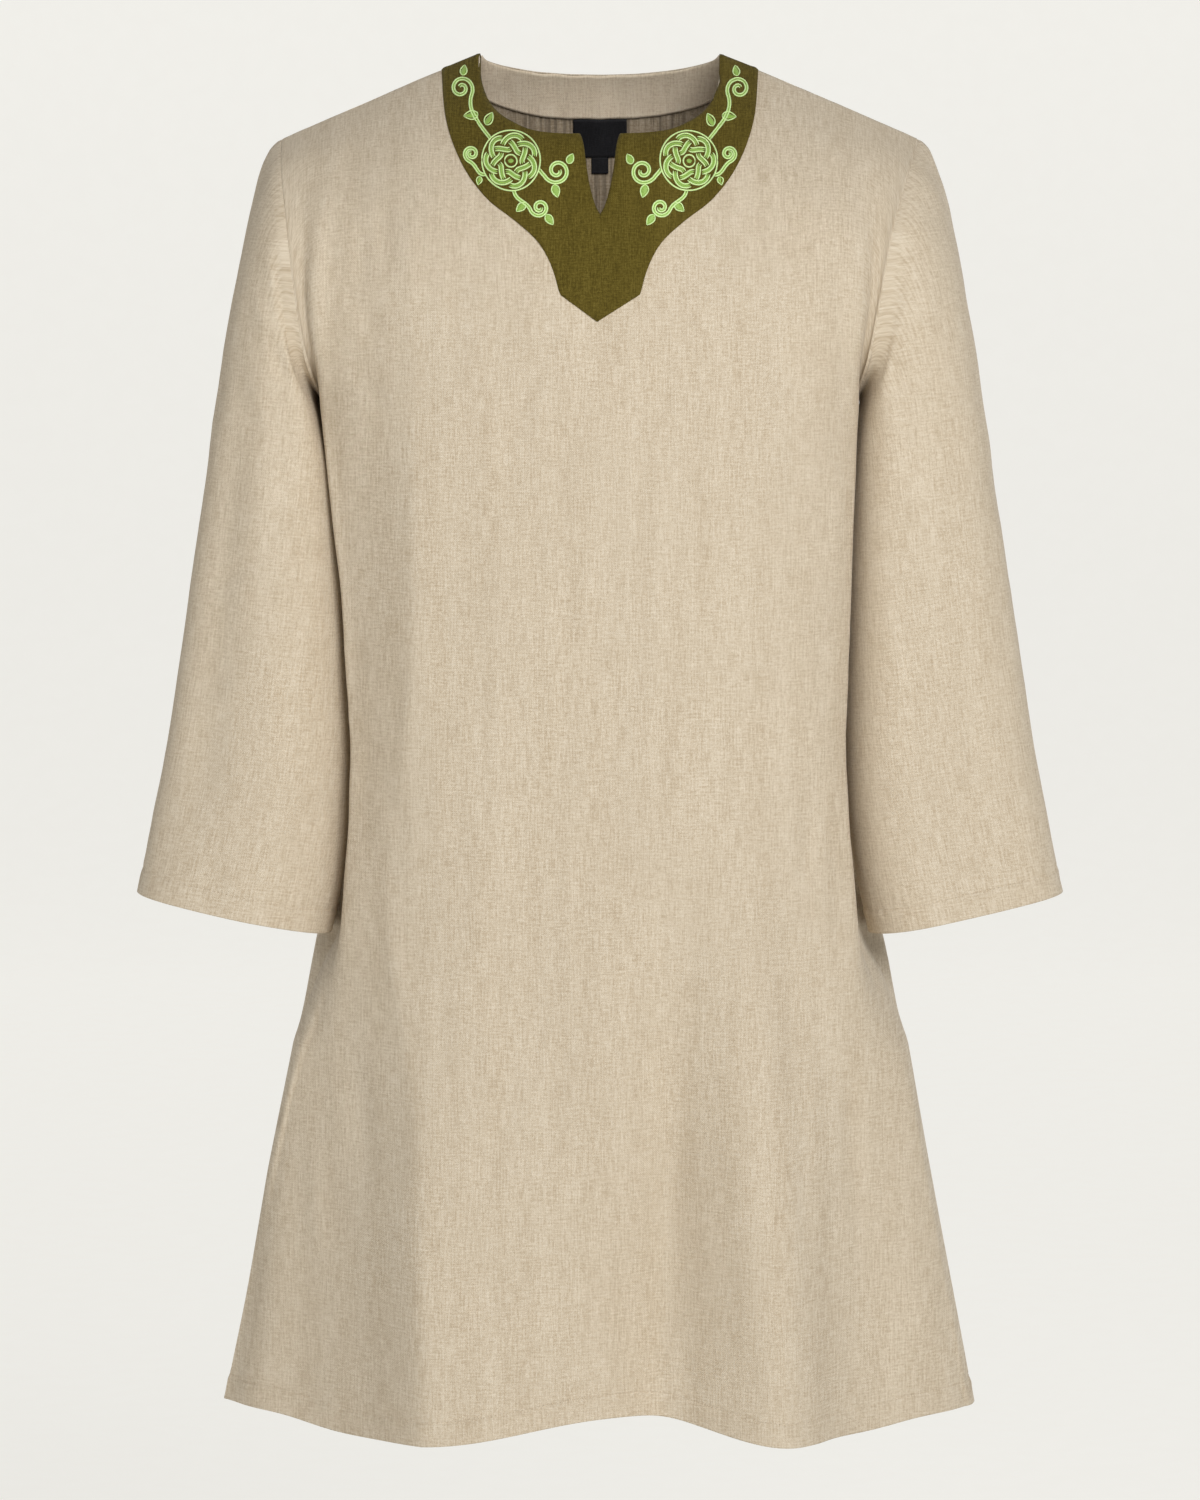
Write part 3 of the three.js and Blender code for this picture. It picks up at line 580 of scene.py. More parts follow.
def grid_faces(rows, columns, skip=None):
    """The four-sided faces of a grid. skip is a grid of faces that are left out."""
    index = np.arange(rows * columns).reshape(rows, columns)
    faces = np.stack([index[:-1, :-1], index[:-1, 1:], index[1:, 1:], index[1:, :-1]], axis=-1)
    return faces[~skip] if skip is not None else faces.reshape(-1, 4)


def rim_edges(faces):
    """Edges that only one face has, each with its face on the left."""
    edges = np.concatenate([faces[:, [n, (n + 1) % 4]] for n in range(4)])
    low, high = edges.min(axis=1), edges.max(axis=1)
    _, first, counts = np.unique(low * (faces.max() + 1) + high, return_index=True, return_counts=True)
    return edges[first[counts == 1]]


def make_object(name, points, faces, materials, attributes=None, face_material=None):
    data = bpy.data.meshes.new(name)
    data.from_pydata([tuple(point) for point in points * MM], [], [tuple(face) for face in faces])
    for material in materials:
        data.materials.append(material)
    if face_material is not None:
        data.polygons.foreach_set("material_index", np.asarray(face_material, np.int32))
    for key, values in (attributes or {}).items():
        layer = data.attributes.new(key, "FLOAT_VECTOR", "POINT")
        layer.data.foreach_set("vector", np.asarray(values, np.float32).ravel())
    data.polygons.foreach_set("use_smooth", [True] * len(data.polygons))
    data.update()
    piece = bpy.data.objects.new(name, data)
    bpy.context.scene.collection.objects.link(piece)
    return piece


def wall(name, points, normals, faces, thick, materials, cloth, lift=0):
    """A closed wall of cloth: outer and inner faces thick mm apart, joined round its free edges.
    cloth gives the place of each point on the flat cut, in mm. lift moves the wall outwards."""
    points, normals, cloth = (a.reshape(-1, a.shape[-1]) for a in (points, normals, cloth))
    lift, thick = np.reshape(lift, (-1, 1)), np.reshape(thick, (-1, 1))
    used = np.unique(faces)
    number = np.full(len(points), -1)
    number[used] = np.arange(len(used))
    count = len(used)
    outer = (points + normals * (lift + thick / 2))[used]
    inner = (points + normals * (lift - thick / 2))[used]
    top = number[faces]
    rim = rim_edges(top)
    sides = np.stack([rim[:, 0], rim[:, 0] + count, rim[:, 1] + count, rim[:, 1]], axis=-1)
    every = np.concatenate([top, top[:, ::-1] + count, sides])
    # Inner faces take the last material: for the panels and sleeves, a darker copy of the linen that paints
    # shade.
    inside = np.repeat([0, len(materials) - 1, 0], [len(top), len(top), len(sides)])
    place = np.concatenate([cloth[used], cloth[used]]) * MM
    return make_object(name, np.concatenate([outer, inner]), every, materials, {"cloth": place}, inside)


def arc_places(points, axis):
    """Distances along the rows or columns of a grid of points."""
    steps = np.linalg.norm(np.diff(points, axis=axis), axis=-1)
    first = np.zeros_like(np.take(steps, [0], axis=axis))
    return np.concatenate([first, np.cumsum(steps, axis=axis)], axis=axis)


def line_places(x, z):
    """Distances along a flat line."""
    return np.concatenate([[0], np.cumsum(np.hypot(np.diff(x), np.diff(z)))])


# Materials.


class Shader:
    """A node material whose nodes are added and linked by short calls."""

    def __init__(self, name):
        self.material = bpy.data.materials.new(name)
        self.material.use_nodes = True
        self.tree = self.material.node_tree
        self.surface = self.tree.nodes["Principled BSDF"]

    def link(self, source, target):
        if isinstance(source, (int, float, tuple)):
            target.default_value = source
        else:
            self.tree.links.new(source, target)

    def node(self, kind, **settings):
        node = self.tree.nodes.new(kind)
        for key, value in settings.items():
            setattr(node, key, value)
        return node

    def maths(self, operation, a, b=0.0, c=0.0):
        node = self.node("ShaderNodeMath", operation=operation)
        for source, target in zip((a, b, c), node.inputs):
            self.link(source, target)
        return node.outputs[0]

    def attribute(self, name):
        return self.node("ShaderNodeAttribute", attribute_name=name).outputs["Vector"]

    def scaled(self, vector, scale):
        node = self.node("ShaderNodeMapping")
        self.link(vector, node.inputs["Vector"])
        node.inputs["Scale"].default_value = scale
        return node.outputs[0]

    def noise(self, vector, detail=2.0, rough=0.5, scale=1.0):
        node = self.node("ShaderNodeTexNoise")
        self.link(vector, node.inputs["Vector"])
        node.inputs["Scale"].default_value = scale
        node.inputs["Detail"].default_value = detail
        node.inputs["Roughness"].default_value = rough
        return node.outputs["Fac"]

    def ramp(self, value, *stops):
        node = self.node("ShaderNodeValToRGB")
        self.link(value, node.inputs[0])
        elements = node.color_ramp.elements
        while len(elements) < len(stops):
            elements.new(0.5)
        for element, (place, color) in zip(elements, stops):
            element.position = place
            element.color = (*color, 1.0) if isinstance(color, tuple) else (color, color, color, 1.0)
        return node.outputs["Color"]

    def blend(self, share, one, other):
        node = self.node("ShaderNodeMix", data_type="RGBA", blend_type="MIX")
        sockets = [node.inputs[0], node.inputs[6], node.inputs[7]]
        for source, target in zip((share, one, other), sockets):
            if isinstance(source, tuple):
                source = (*source, 1.0)
            self.link(source, target)
        return node.outputs[2]

    def bump(self, height, strength, distance):
        node = self.node("ShaderNodeBump")
        self.link(height, node.inputs["Height"])
        node.inputs["Strength"].default_value = strength
        node.inputs["Distance"].default_value = distance
        return node.outputs[0]


# The grain of woven cloth: how many times longer than wide its slubs are, how much the weft, the fine
# grain and the broad bands count beside the warp, and where dark, middle and light threads begin.
SLUB_LONG = {"warp": 15, "weft": 9}
GRAIN = {"weft": 0.8, "fine": 0.9, "bands": 0.35}
TONES = {"dark": 0.42, "base": 0.5, "light": 0.585}
# How many times a metre a pattern changes, across and along the cloth.
BANDS, PATCHES, SPECKS, PLEATS = (62, 5, 0), (9, 7, 0), (380, 150, 0), (330, 9, 0)
# The pleat tone is how dark the pleats' valleys are painted: painted shade.
PATCH_TONE, PLEAT_SHADE_TONE = 0.91, 0.4
RELIEF = {"threads": 0.15, "pleats": -1.2, "strength": 0.7}


def woven(name, base, dark, light, pitch, slub, rough, sheen, specular):
    """Plain woven cloth with uneven threads. pitch is the distance between threads in metres, and slub
    the width of the thick ones. The attribute cloth holds the place on the flat cut and, as its third
    value, how far it is gathered, which darkens the pleats' valleys as painted shade."""
    shader = Shader(name)
    cloth = shader.attribute("cloth")

    def grain(scale, detail=3.0, rough=0.65):
        return shader.noise(shader.scaled(cloth, scale), detail, rough)

    warp = grain((1 / slub, 1 / (slub * SLUB_LONG["warp"]), 0))
    weft = grain((1 / (slub * SLUB_LONG["weft"]), 1 / slub, 0))
    fine = grain((1 / (pitch * 2), 1 / (pitch * 2.4), 0), 3.0, 0.7)
    bands, patches = grain(BANDS, 3.0, 0.6), grain(PATCHES, 3.0, 0.6)
    threads = warp
    for layer, share in zip((weft, fine, bands), GRAIN.values()):
        threads = shader.maths("MULTIPLY_ADD", layer, share, threads)
    threads = shader.maths("DIVIDE", threads, 1 + sum(GRAIN.values()))
    tone = shader.ramp(threads, *zip(TONES.values(), (dark, base, light)))
    worn = tuple(PATCH_TONE * c for c in base)
    tone = shader.blend(shader.ramp(patches, (0.3, 0.0), (0.7, 0.3)), tone, worn)
    tone = shader.blend(shader.ramp(grain(SPECKS, 1.0, 0.5), (0.7, 0.0), (0.78, 0.4)), tone, dark)
    split = shader.node("ShaderNodeSeparateXYZ")
    shader.link(cloth, split.inputs[0])
    gathered = shader.maths("MULTIPLY", split.outputs[2], 1 / MM)
    # The pleats' valleys are painted darker as shade, besides being sunk by the bump.
    pleats = shader.ramp(grain(PLEATS, 1.0, 0.5), (0.4, 1.0), (0.56, 0.0))
    valleys = shader.maths("MULTIPLY", pleats, gathered)
    tone = shader.blend(shader.maths("MULTIPLY", valleys, 0.6), tone, tuple(PLEAT_SHADE_TONE * c for c in base))
    shader.link(tone, shader.surface.inputs["Base Color"])
    turns = [shader.maths("MULTIPLY", split.outputs[n], math.pi / pitch) for n in range(2)]
    waves = [shader.maths("SINE", turn) for turn in turns]
    height = shader.maths("MULTIPLY_ADD", shader.maths("MULTIPLY", *waves), RELIEF["threads"], threads)
    height = shader.maths("MULTIPLY_ADD", valleys, RELIEF["pleats"], height)
    shader.link(shader.bump(height, RELIEF["strength"], pitch), shader.surface.inputs["Normal"])
    settings = {"Roughness": rough, "Specular IOR Level": specular}
    settings |= {"Sheen Weight": sheen, "Sheen Roughness": 0.5}
    for socket, value in settings.items():
        shader.surface.inputs[socket].default_value = value
    return shader.material


LINEN_BASE, LINEN_DARK, LINEN_LIGHT = (0.625, 0.53, 0.4), (0.5, 0.4, 0.28), (0.735, 0.645, 0.515)
# A darker copy of the linen for the inner faces: painted shade inside the tunic.
SHADED_INSIDE_BASE, SHADED_INSIDE_DARK, SHADED_INSIDE_LIGHT = (0.4, 0.32, 0.225), (0.26, 0.2, 0.13), (0.54, 0.45, 0.34)
# A lighter copy of the linen for the back facing: painted light that bounces into the neck.
LIT_FACING_BASE, LIT_FACING_DARK, LIT_FACING_LIGHT = (0.83, 0.7, 0.53), (0.66, 0.53, 0.38), (0.92, 0.81, 0.65)
OLIVE_BASE, OLIVE_DARK, OLIVE_LIGHT = (0.104, 0.077, 0.0115), (0.062, 0.045, 0.006), (0.158, 0.122, 0.024)
BLACK_BASE, BLACK_DARK, BLACK_LIGHT = (0.008, 0.008, 0.01), (0.004, 0.004, 0.005), (0.02, 0.02, 0.023)
# Name, colours, pitch, slub, roughness, sheen and specular level.
CLOTHS = (
    ("linen", LINEN_BASE, LINEN_DARK, LINEN_LIGHT, 0.0008, 0.0012, 0.92, 0.1, 0.25),
    # The inside linen is the linen darkened: painted shade.
    ("painted_shade_inside_linen", SHADED_INSIDE_BASE, SHADED_INSIDE_DARK, SHADED_INSIDE_LIGHT, 0.0008, 0.0012, 0.94, 0.05, 0.25),
    # The facing linen is the linen lightened: painted light.
    ("painted_light_facing_linen", LIT_FACING_BASE, LIT_FACING_DARK, LIT_FACING_LIGHT, 0.0008, 0.0012, 0.92, 0.1, 0.25),
    ("olive_cloth", OLIVE_BASE, OLIVE_DARK, OLIVE_LIGHT, 0.0007, 0.0008, 0.9, 0.04, 0.12),
    ("black_cloth", BLACK_BASE, BLACK_DARK, BLACK_LIGHT, 0.0004, 0.0005, 0.7, 0.05, 0.25),
)
linen, painted_shade_inside_linen, painted_light_facing_linen, olive, black = (woven(*cloth) for cloth in CLOTHS)


def thread_material(name, core, edge):
    """Twisted embroidery thread. The attribute cloth runs along and across a line of stitches."""
    shader = Shader(name)
    cloth = shader.attribute("cloth")
    strands = shader.noise(shader.scaled(cloth, (2600, 500, 1)), 2.0, 0.6)
    tone = shader.ramp(strands, (0.3, edge), (0.52, core), (0.8, tuple(min(1, 1.15 * c) for c in core)))
    shader.link(tone, shader.surface.inputs["Base Color"])
    shader.link(shader.bump(strands, 0.7, 0.0003), shader.surface.inputs["Normal"])
    shader.surface.inputs["Roughness"].default_value = 0.5
    shader.surface.inputs["Sheen Weight"].default_value = 0.2
    return shader.material


pale_lime = thread_material("pale_lime_thread", (0.7, 0.92, 0.42), (0.42, 0.7, 0.16))
deep_lime = thread_material("deep_lime_thread", (0.3, 0.5, 0.085), (0.17, 0.31, 0.04))
linen_thread = thread_material("linen_thread", (0.66, 0.56, 0.42), (0.46, 0.37, 0.25))


# The panels.


def spaced(*marks):
    """Places from the first mark to the last: each mark is a place and the count of steps up to it."""
    places = [marks[0][0]]
    for (start, _), (end, count) in zip(marks, marks[1:]):
        places += list(start + (end - start) * (np.arange(count) + 1) / count)
    return np.array(places)


# The grids' places: across each half from its middle to the seam, down to the hem, and up to the top.
EDGE_ACROSS = {
    1: spaced((0, 0), (NECK_SHARE, 26), (0.93, 52), (0.985, 8), (1, 7)),
    -1: spaced((0, 0), (NECK_SHARE, 44), (0.93, 38), (0.985, 6), (1, 5)),
}
DOWN = spaced((1, 0), (0.965, 20), (0, 150))
UP = spaced((0, 0), (SLIT_UP, 44), (0.965, 26), (1, 8))
# From where across a half its cloth bends evenly to the armhole, and how often the sleeves' normals
# are averaged.
EVEN_FROM = 0.9
CALM_ROUNDS = 12
# The cut of a half is wider than its x says, and these are its half width and its rise to the shoulder.
ROUND_SHARE, HALF_WIDE, TOP_RISE, FAR = 1.08, 300, 190, 99
HEM = {"out": 0.6, "step": 0.8, "pucker": 0.35, "long": 7, "wide": 7}
SEWN = {"deep": 0.8, "wide": 1.8}


def crumple(u, v, seed):
    """Soft creases that linen keeps: long shallow ones down the cloth and small ones between."""
    long = ripples(u, v, 88, 3.6, seed, 9)
    upright = ripples(u, 0 * v, 26, 1, seed + 4, 9) * ripples(u, v, 120, 1.6, seed + 5, 6)
    short = ripples(u, v, 34, 2.4, seed + 1, 9)
    tiny = ripples(u, v, 13, 1.8, seed + 2, 8)
    where = ease(-0.4, 1.2, ripples(u, v, 160, 1.5, seed + 3, 5))
    return 0.8 * long + 0.3 * upright + 0.36 * short * (0.35 + where) + 0.09 * tiny * (0.3 + where)


def creased(points, rows):
    """How far cloth stands out at its creases."""
    x, z = points[..., 0], points[..., 2]
    shift = 0 * x
    for from_x, from_z, to_x, to_z, wide, out, bend in zip(*(rows[name] for name in CREASE_NAMES.split())):
        far = math.hypot(to_x - from_x, to_z - from_z)
        along = ((x - from_x) * (to_x - from_x) + (z - from_z) * (to_z - from_z)) / far**2
        aside = ((x - from_x) * (to_z - from_z) - (z - from_z) * (to_x - from_x)) / far
        aside = aside - bend * 4 * along * (1 - along)
        shift = shift + out * ease(0, 0.35, along) * ease(1, 0.65, along) * bell(aside, wide)
    return shift


def gathered(points):
    """How far the back is gathered below the facing, from 0 to 1."""
    x, z = points[..., 0], points[..., 2]
    below = np.interp(np.abs(x), FACING_EDGE["across"], -FACING_EDGE["down"]) - z
    near = ease(GATHERS["half"], 0.6 * GATHERS["half"], np.abs(x))
    return near * ease(-3, 2, below) * ease(GATHERS["deep"], 0.25 * GATHERS["deep"], below)


def line_at(points, normals, far, place):
    """Where a grid's distance far, which rises along its rows, has one value."""
    row = np.argmax(far >= place, axis=0)
    column = np.arange(far.shape[1])
    low, high = far[row - 1, column], far[row, column]
    share = ((place - low) / (high - low))[:, None]
    return (mix(a[row - 1, column], a[row, column], share) for a in (points, normals))


def half_grid(half):
    """The middle surface of a half, with the rows from the hem up."""
    down = np.concatenate([DOWN, np.zeros(len(UP) - 1)])
    up = np.concatenate([np.zeros(len(DOWN)), UP[1:]])
    edge = EDGE_ACROSS[half.facing]
    twice = 0 if half.facing > 0 else 1
    across = np.concatenate([-edge[::-1], edge[twice:]])
    side = np.where(np.arange(len(across)) < len(across) / 2, -1.0, 1.0)
    grid = np.broadcast_arrays(across[None, :], down[:, None], up[:, None], side[None, :])
    return grid, half_point(half, *(np.array(g, float) for g in grid))


def sewn(far, deep, wide):
    """How far cloth dips beside a seam or a line of stitches, far mm away."""
    return -deep * bell(far, wide)


def even_edge(points, across, up):
    """Draws the cloth beside each armhole into one smooth bend that ends at the seam."""
    for edge, order in ((0, 1), (-1, -1)):
        start = int(np.argmin(np.abs(across[0] + order * EVEN_FROM)))
        step = abs(start - (edge % across.shape[1]))
        part = slice(0, step + 1) if order > 0 else slice(start, None)
        x, y = points[:, part, 0], points[:, part, 1]
        seam_x, seam_y = points[:, edge, 0, None], points[:, edge, 1, None]
        x0, y0 = points[:, start, 0, None], points[:, start, 1, None]
        inner_x, inner_y = points[:, start + 3 * order, 0, None], points[:, start + 3 * order, 1, None]
        slope = (y0 - inner_y) / (x0 - inner_x)
        share = (x - x0) / (seam_x - x0)
        bend = y0 + slope * (x - x0) + (seam_y - y0 - slope * (seam_x - x0)) * share**2
        weight = (ease(0.02, 0.14, up) * ease(0.97, 0.85, up))[:, part]
        points[:, part, 1] = mix(y, bend, weight)
    return points


def sewn_hem(u, v, from_hem, seed):
    """How far cloth stands out or dips round the stitches of a hem."""
    away = from_hem - HEM_DEEP
    pucker = HEM["pucker"] * ripples(u, v, HEM["long"], 2.5, seed + 9, 6) * bell(away, HEM["wide"])
    return pucker + sewn(away, 0.5, 1.6)


def turned_hem(from_hem):
    """How much thicker cloth is where its hem is turned."""
    return HEM["out"] * ease(HEM_DEEP + HEM["step"], HEM_DEEP - HEM["step"], from_hem)


def rolled(far, roll):
    """How far cloth rolls out beside an armhole that is far mm away."""
    return roll["out"] * ease(0, 3, far) * bell(far - roll["far"], roll["wide"])


def panel(name, half, seed):
    (across, down, up, _), points = half_grid(half)
    points = even_edge(points, across, up)
    normals = grid_normals(points) * half.facing
    from_hem = arc_places(points, 0)
    chest = len(DOWN) - 1
    u = points[..., 0] * ROUND_SHARE
    v = np.where(down > 0, points[..., 2] - UNDERARM_Z, from_hem - from_hem[chest])
    to_side = np.abs(1 - np.abs(across)) * HALF_WIDE
    to_top = np.where(np.abs(across) > NECK_SHARE, (1 - up) * TOP_RISE, FAR)
    calm = ease(0, 30, to_side) * (0.25 + 0.75 * ease(1, 0.75, up)) * ease(0, 12, from_hem)
    shift = crumple(u, v, seed) * calm + sewn_hem(u, v, from_hem, seed)
    shift = shift + sewn(to_side, **SEWN) + sewn(to_top, 0.7, SEWN["wide"])
    shift = shift + (up > 0) * ease(0.6, 0.3, up) * rolled(to_side, PANEL_ROLL)
    shift = shift + creased(points, FRONT_CREASES if half.facing > 0 else BACK_CREASES)
    pleated = gathered(points) if half.facing < 0 else 0 * u
    half.shifts = (across[0], up[chest:, 0], shift[chest:])
    waves = u + 1.6 * ripples(u, v, 30, 3, seed + 7, 5)
    shift = shift + GATHERS["out"] * pleated * np.sin(2 * math.pi * waves / GATHERS["wave"])
    points = points + normals * shift[..., None]
    half.hem_line = line_at(points, normals, from_hem, HEM_DEEP)
    rows, columns = points.shape[:2]
    if half.facing > 0:
        skip = np.zeros((rows - 1, columns - 1), bool)
        skip[:, columns // 2 - 1] = True
        faces = weld_below_slit(grid_faces(rows, columns, skip), columns, up[:, 0])
    else:
        faces = grid_faces(rows, columns)[:, ::-1]
    hem = turned_hem(from_hem)
    # Its third value also sets the painted shade in the pleats' valleys.
    cloth = stacked(u, v, pleated)
    # The inner faces take the darker inside linen: painted shade.
    return wall(name, points, normals, faces, LINEN_THICK + hem, [linen, painted_shade_inside_linen], cloth, lift=hem / 3)


def weld_below_slit(faces, columns, up):
    """Joins the two middle columns of the front wherever the slit is closed."""
    middle = columns // 2 - 1
    row, column = np.divmod(faces, columns)
    closed = up[row] <= SLIT_UP + 1e-9
    return np.where((column == middle + 1) & closed, faces - 1, faces)


front = panel("front_panel", FRONT, SEED)
back = panel("back_panel", BACK, SEED + 20)


def tube_cloth(points):
    """Places on the flat cut of a tube of cloth, with the warp along its axis."""
    start, end = points[0].mean(axis=0), points[-1].mean(axis=0)
    axis = unit(end - start)
    along = points @ axis
    flat = points - along[..., None] * axis
    round_tube = arc_places(flat, 1)
    outer_line = points.shape[1] // 2
    return stacked(round_tube - round_tube[:, outer_line : outer_line + 1], along, 0)


def sleeve(name, side, seed):
    """A sleeve, and the line of its cuff's stitches."""
    front_turns = 180 * spaced((0, 0), (0.5, 62), (1, 34))
    turns = np.concatenate([front_turns, 180 + 180 * spaced((0, 0), (1, 60))[1:]])
    along = spaced((0, 0), (0.02, 7), (0.12, 22), (0.955, 112), (1, 20))
    turn, place = np.meshgrid(turns, along)
    points = sleeve_point(side, turn, place)
    normals = grid_normals(points, closed=True) * -side
    for _ in range(CALM_ROUNDS):
        ring = ringed(normals)
        normals = unit(ring[:, :-2] + 2 * ring[:, 1:-1] + ring[:, 2:])
    u, v = arc_places(points, 1), arc_places(points, 0)
    from_hem = v[-1:, :] - v
    round_u = u[:, -1:] * turn / 360
    wave = 0.5 * (1 - np.cos(np.radians(turn)))
    turned = np.minimum(turn, 360 - turn)
    calm = ease(0, 25, v) * ease(0, 12, from_hem) * (0.3 + 0.7 * wave)
    calm = calm * ease(0, 14, np.minimum(round_u, u[:, -1:] - round_u))
    shift = 0.8 * crumple(u, v, seed) * calm + sewn_hem(u, v, from_hem, seed) + sewn(v, **SEWN)
    shift = shift + ease(30, 75, turned) * ease(125, 90, turned) * rolled(v, SLEEVE_ROLL)
    for face in (1, -1):
        mine = (SLEEVE_CREASES["arm"] == side) & (SLEEVE_CREASES["face"] == face)
        creases = {key: column[mine] for key, column in SLEEVE_CREASES.items()}
        seen = ease(0, 25, turned) * ease(180, 155, turned) * ((turn <= 180) if face > 0 else (turn > 180))
        shift = shift + creased(points, creases) * seen
    cloth = tube_cloth(points)
    points = points + normals * shift[..., None]
    rows, columns = points.shape[:2]
    faces = grid_faces(rows, columns)
    faces = np.where(faces % columns == columns - 1, faces - (columns - 1), faces)
    if side > 0:
        faces = faces[:, ::-1]
    hem = turned_hem(from_hem)
    # The inner faces take the darker inside linen: painted shade.
    piece = wall(name, points, normals, faces, LINEN_THICK + hem, [linen, painted_shade_inside_linen], cloth, lift=hem / 3)
    return piece, line_at(points[::-1], normals[::-1], from_hem[::-1], HEM_DEEP)


right_sleeve, right_cuff = sleeve("right_sleeve", -1, SEED + 40)
left_sleeve, left_cuff = sleeve("left_sleeve", 1, SEED + 60)


# Pieces laid on the panels are placed by their x and z, found again on the smooth surface.


def smooth_point(half, across, up, side):
    return half_point(half, across, 0 * across, up, side)


def locate(half, x, z):
    """The place (across, up) on a half of points given by x and z."""
    side = np.where(x < 0, -1.0, 1.0)
    across, up = x / 215, np.clip((z - UNDERARM_Z) / 225, 0.02, 0.97)
    step = 1e-4
    for _ in range(14):
        here = smooth_point(half, across, up, side)
        by_across = (smooth_point(half, across + step * side, up, side) - here) / step * side[..., None]
        by_up = (smooth_point(half, across, np.maximum(up - step, 0.001), side) - here) / -step
        miss_x, miss_z = x - here[..., 0], z - here[..., 2]
        spread = by_across[..., 0] * by_up[..., 2] - by_up[..., 0] * by_across[..., 2]
        spread = np.where(np.abs(spread) < 1.0, 1.0, spread)
        across = across + np.clip((miss_x * by_up[..., 2] - miss_z * by_up[..., 0]) / spread, -0.1, 0.1)
        up = up + np.clip((miss_z * by_across[..., 0] - miss_x * by_across[..., 2]) / spread, -0.1, 0.1)
        across = np.where(side < 0, np.clip(across, -1, -1e-5), np.clip(across, 1e-5, 1))
        up = np.clip(up, 0.01, 1)
    return across, up, side


def between(places, at):
    """The index below a place in a rising list, and the share of the way to the next."""
    i = np.clip(np.searchsorted(places, at, side="right") - 1, 0, len(places) - 2)
    gap = np.maximum(places[i + 1] - places[i], 1e-9)
    return i, np.clip((at - places[i]) / gap, 0, 1)


def crumple_at(half, across, up):
    """How far the made cloth stands from the smooth surface at places on it."""
    columns, rows, shift = half.shifts
    i, s = between(columns, across)
    j, t = between(rows, up)
    low = mix(shift[j, i], shift[j, i + 1], s)
    high = mix(shift[j + 1, i], shift[j + 1, i + 1], s)
    return mix(low, high, t)


def on_half(half, x, z):
    """Points and normals on a half's cloth at x and z."""
    across, up, side = locate(half, x, z)
    here = smooth_point(half, across, up, side)
    step = 2e-3
    lower = smooth_point(half, across, np.maximum(up - step, 0.001), side)
    aside = smooth_point(half, across + step * side, up, side)
    normal = unit(np.cross((aside - here) * side[..., None], here - lower)) * half.facing
    return here + normal * crumple_at(half, across, up)[..., None], normal


def smooth_curve(knots, count):
    """A smooth curve through a short table of points, as x and z."""
    x, down = knots["across"], knots["down"]
    far = line_places(x, down)
    rows = row_at({"far": far, "x": x, "down": down}, "far", np.linspace(0, far[-1], count))
    return rows["x"], -rows["down"]


def neck_edge(count_neck, count_slit):
    """The inner edge of the yoke on the wearer's left, from the slit's lower end up to the neck point."""
    up = SLIT_UP + (1 - SLIT_UP) * np.linspace(0, 1, count_slit) ** 1.4
    slit = smooth_point(FRONT, 0 * up + 1e-6, up, 1 + 0 * up)
    across = NECK_SHARE * np.linspace(0, 1, count_neck + 1)[1:] ** 1.1
    neck = smooth_point(FRONT, across, 1 + 0 * across, 1 + 0 * across)
    edge = np.concatenate([slit, neck])
    return edge[:, 0], edge[:, 2]


# The rows of each side of the yoke: below the slit, beside it and round the neck.
YOKE_ROWS = {"below": 21, "slit": 44, "neck": 64}


def yoke_edges():
    """Each side of the yoke is a strip from its inner edge to its outer one, and both meet below the slit."""
    parts = []
    inner_x, inner_z = neck_edge(YOKE_ROWS["neck"], YOKE_ROWS["slit"])
    low = smooth_point(FRONT, np.array([1e-6]), np.array([SLIT_UP]), np.array([1.0]))[0, 2]
    below = np.linspace(-YOKE_TIP[1], low, YOKE_ROWS["below"] + 1)[:-1]
    for side in (-1, 1):
        in_x = np.concatenate([np.linspace(YOKE_TIP[0], 0, len(below) + 1)[:-1], side * inner_x])
        in_z = np.concatenate([below, inner_z])
        curve_x, curve_z = smooth_curve(YOKE_EDGE, 200)
        tip_x = np.linspace(YOKE_TIP[0], side * curve_x[0], 24)[:-1]
        tip_z = np.linspace(-YOKE_TIP[1], curve_z[0], 24)[:-1]
        out_x, out_z = np.concatenate([tip_x, side * curve_x]), np.concatenate([tip_z, curve_z])
        shoulder = top_edge(FRONT, np.linspace(NECK_SHARE, 0.5, 40))
        out_z[-1] = np.interp(abs(out_x[-1]), shoulder[:, 0], shoulder[:, 2])
        far, own = line_places(out_x, out_z), line_places(in_x, in_z)
        want = far[-1] * (own / own[-1]) ** 0.86
        out_x, out_z = np.interp(want, far, out_x), np.interp(want, far, out_z)
        parts.append((side, in_x, in_z, out_x, out_z))
    return parts


def lay_yoke(steps):
    """The sides of the yoke on the front's cloth: points, normals, and their x and z."""
    sides = []
    for side, in_x, in_z, out_x, out_z in yoke_edges():
        x = mix(in_x[:, None], out_x[:, None], steps[None, :])
        z = mix(in_z[:, None], out_z[:, None], steps[None, :])
        x = np.where(np.abs(x) < 1e-3, side * 1e-3, x)
        sides.append((*on_half(FRONT, x, z), x, z))
    return sides


def yoke_lift(x, z):
    """How far the middle of the yoke's cloth lies out from the front's."""
    right, left = (ripples(x, z, 38, 1.4, seed) for seed in (SEED + 80, SEED + 81))
    return 1.35 + 0.2 * np.where(x < 0, right, left)


def weld(faces, sources, targets):
    """Replaces the numbers of points that lie on others."""
    swap = np.arange(faces.max() + 1)
    swap[sources] = targets
    return swap[faces]


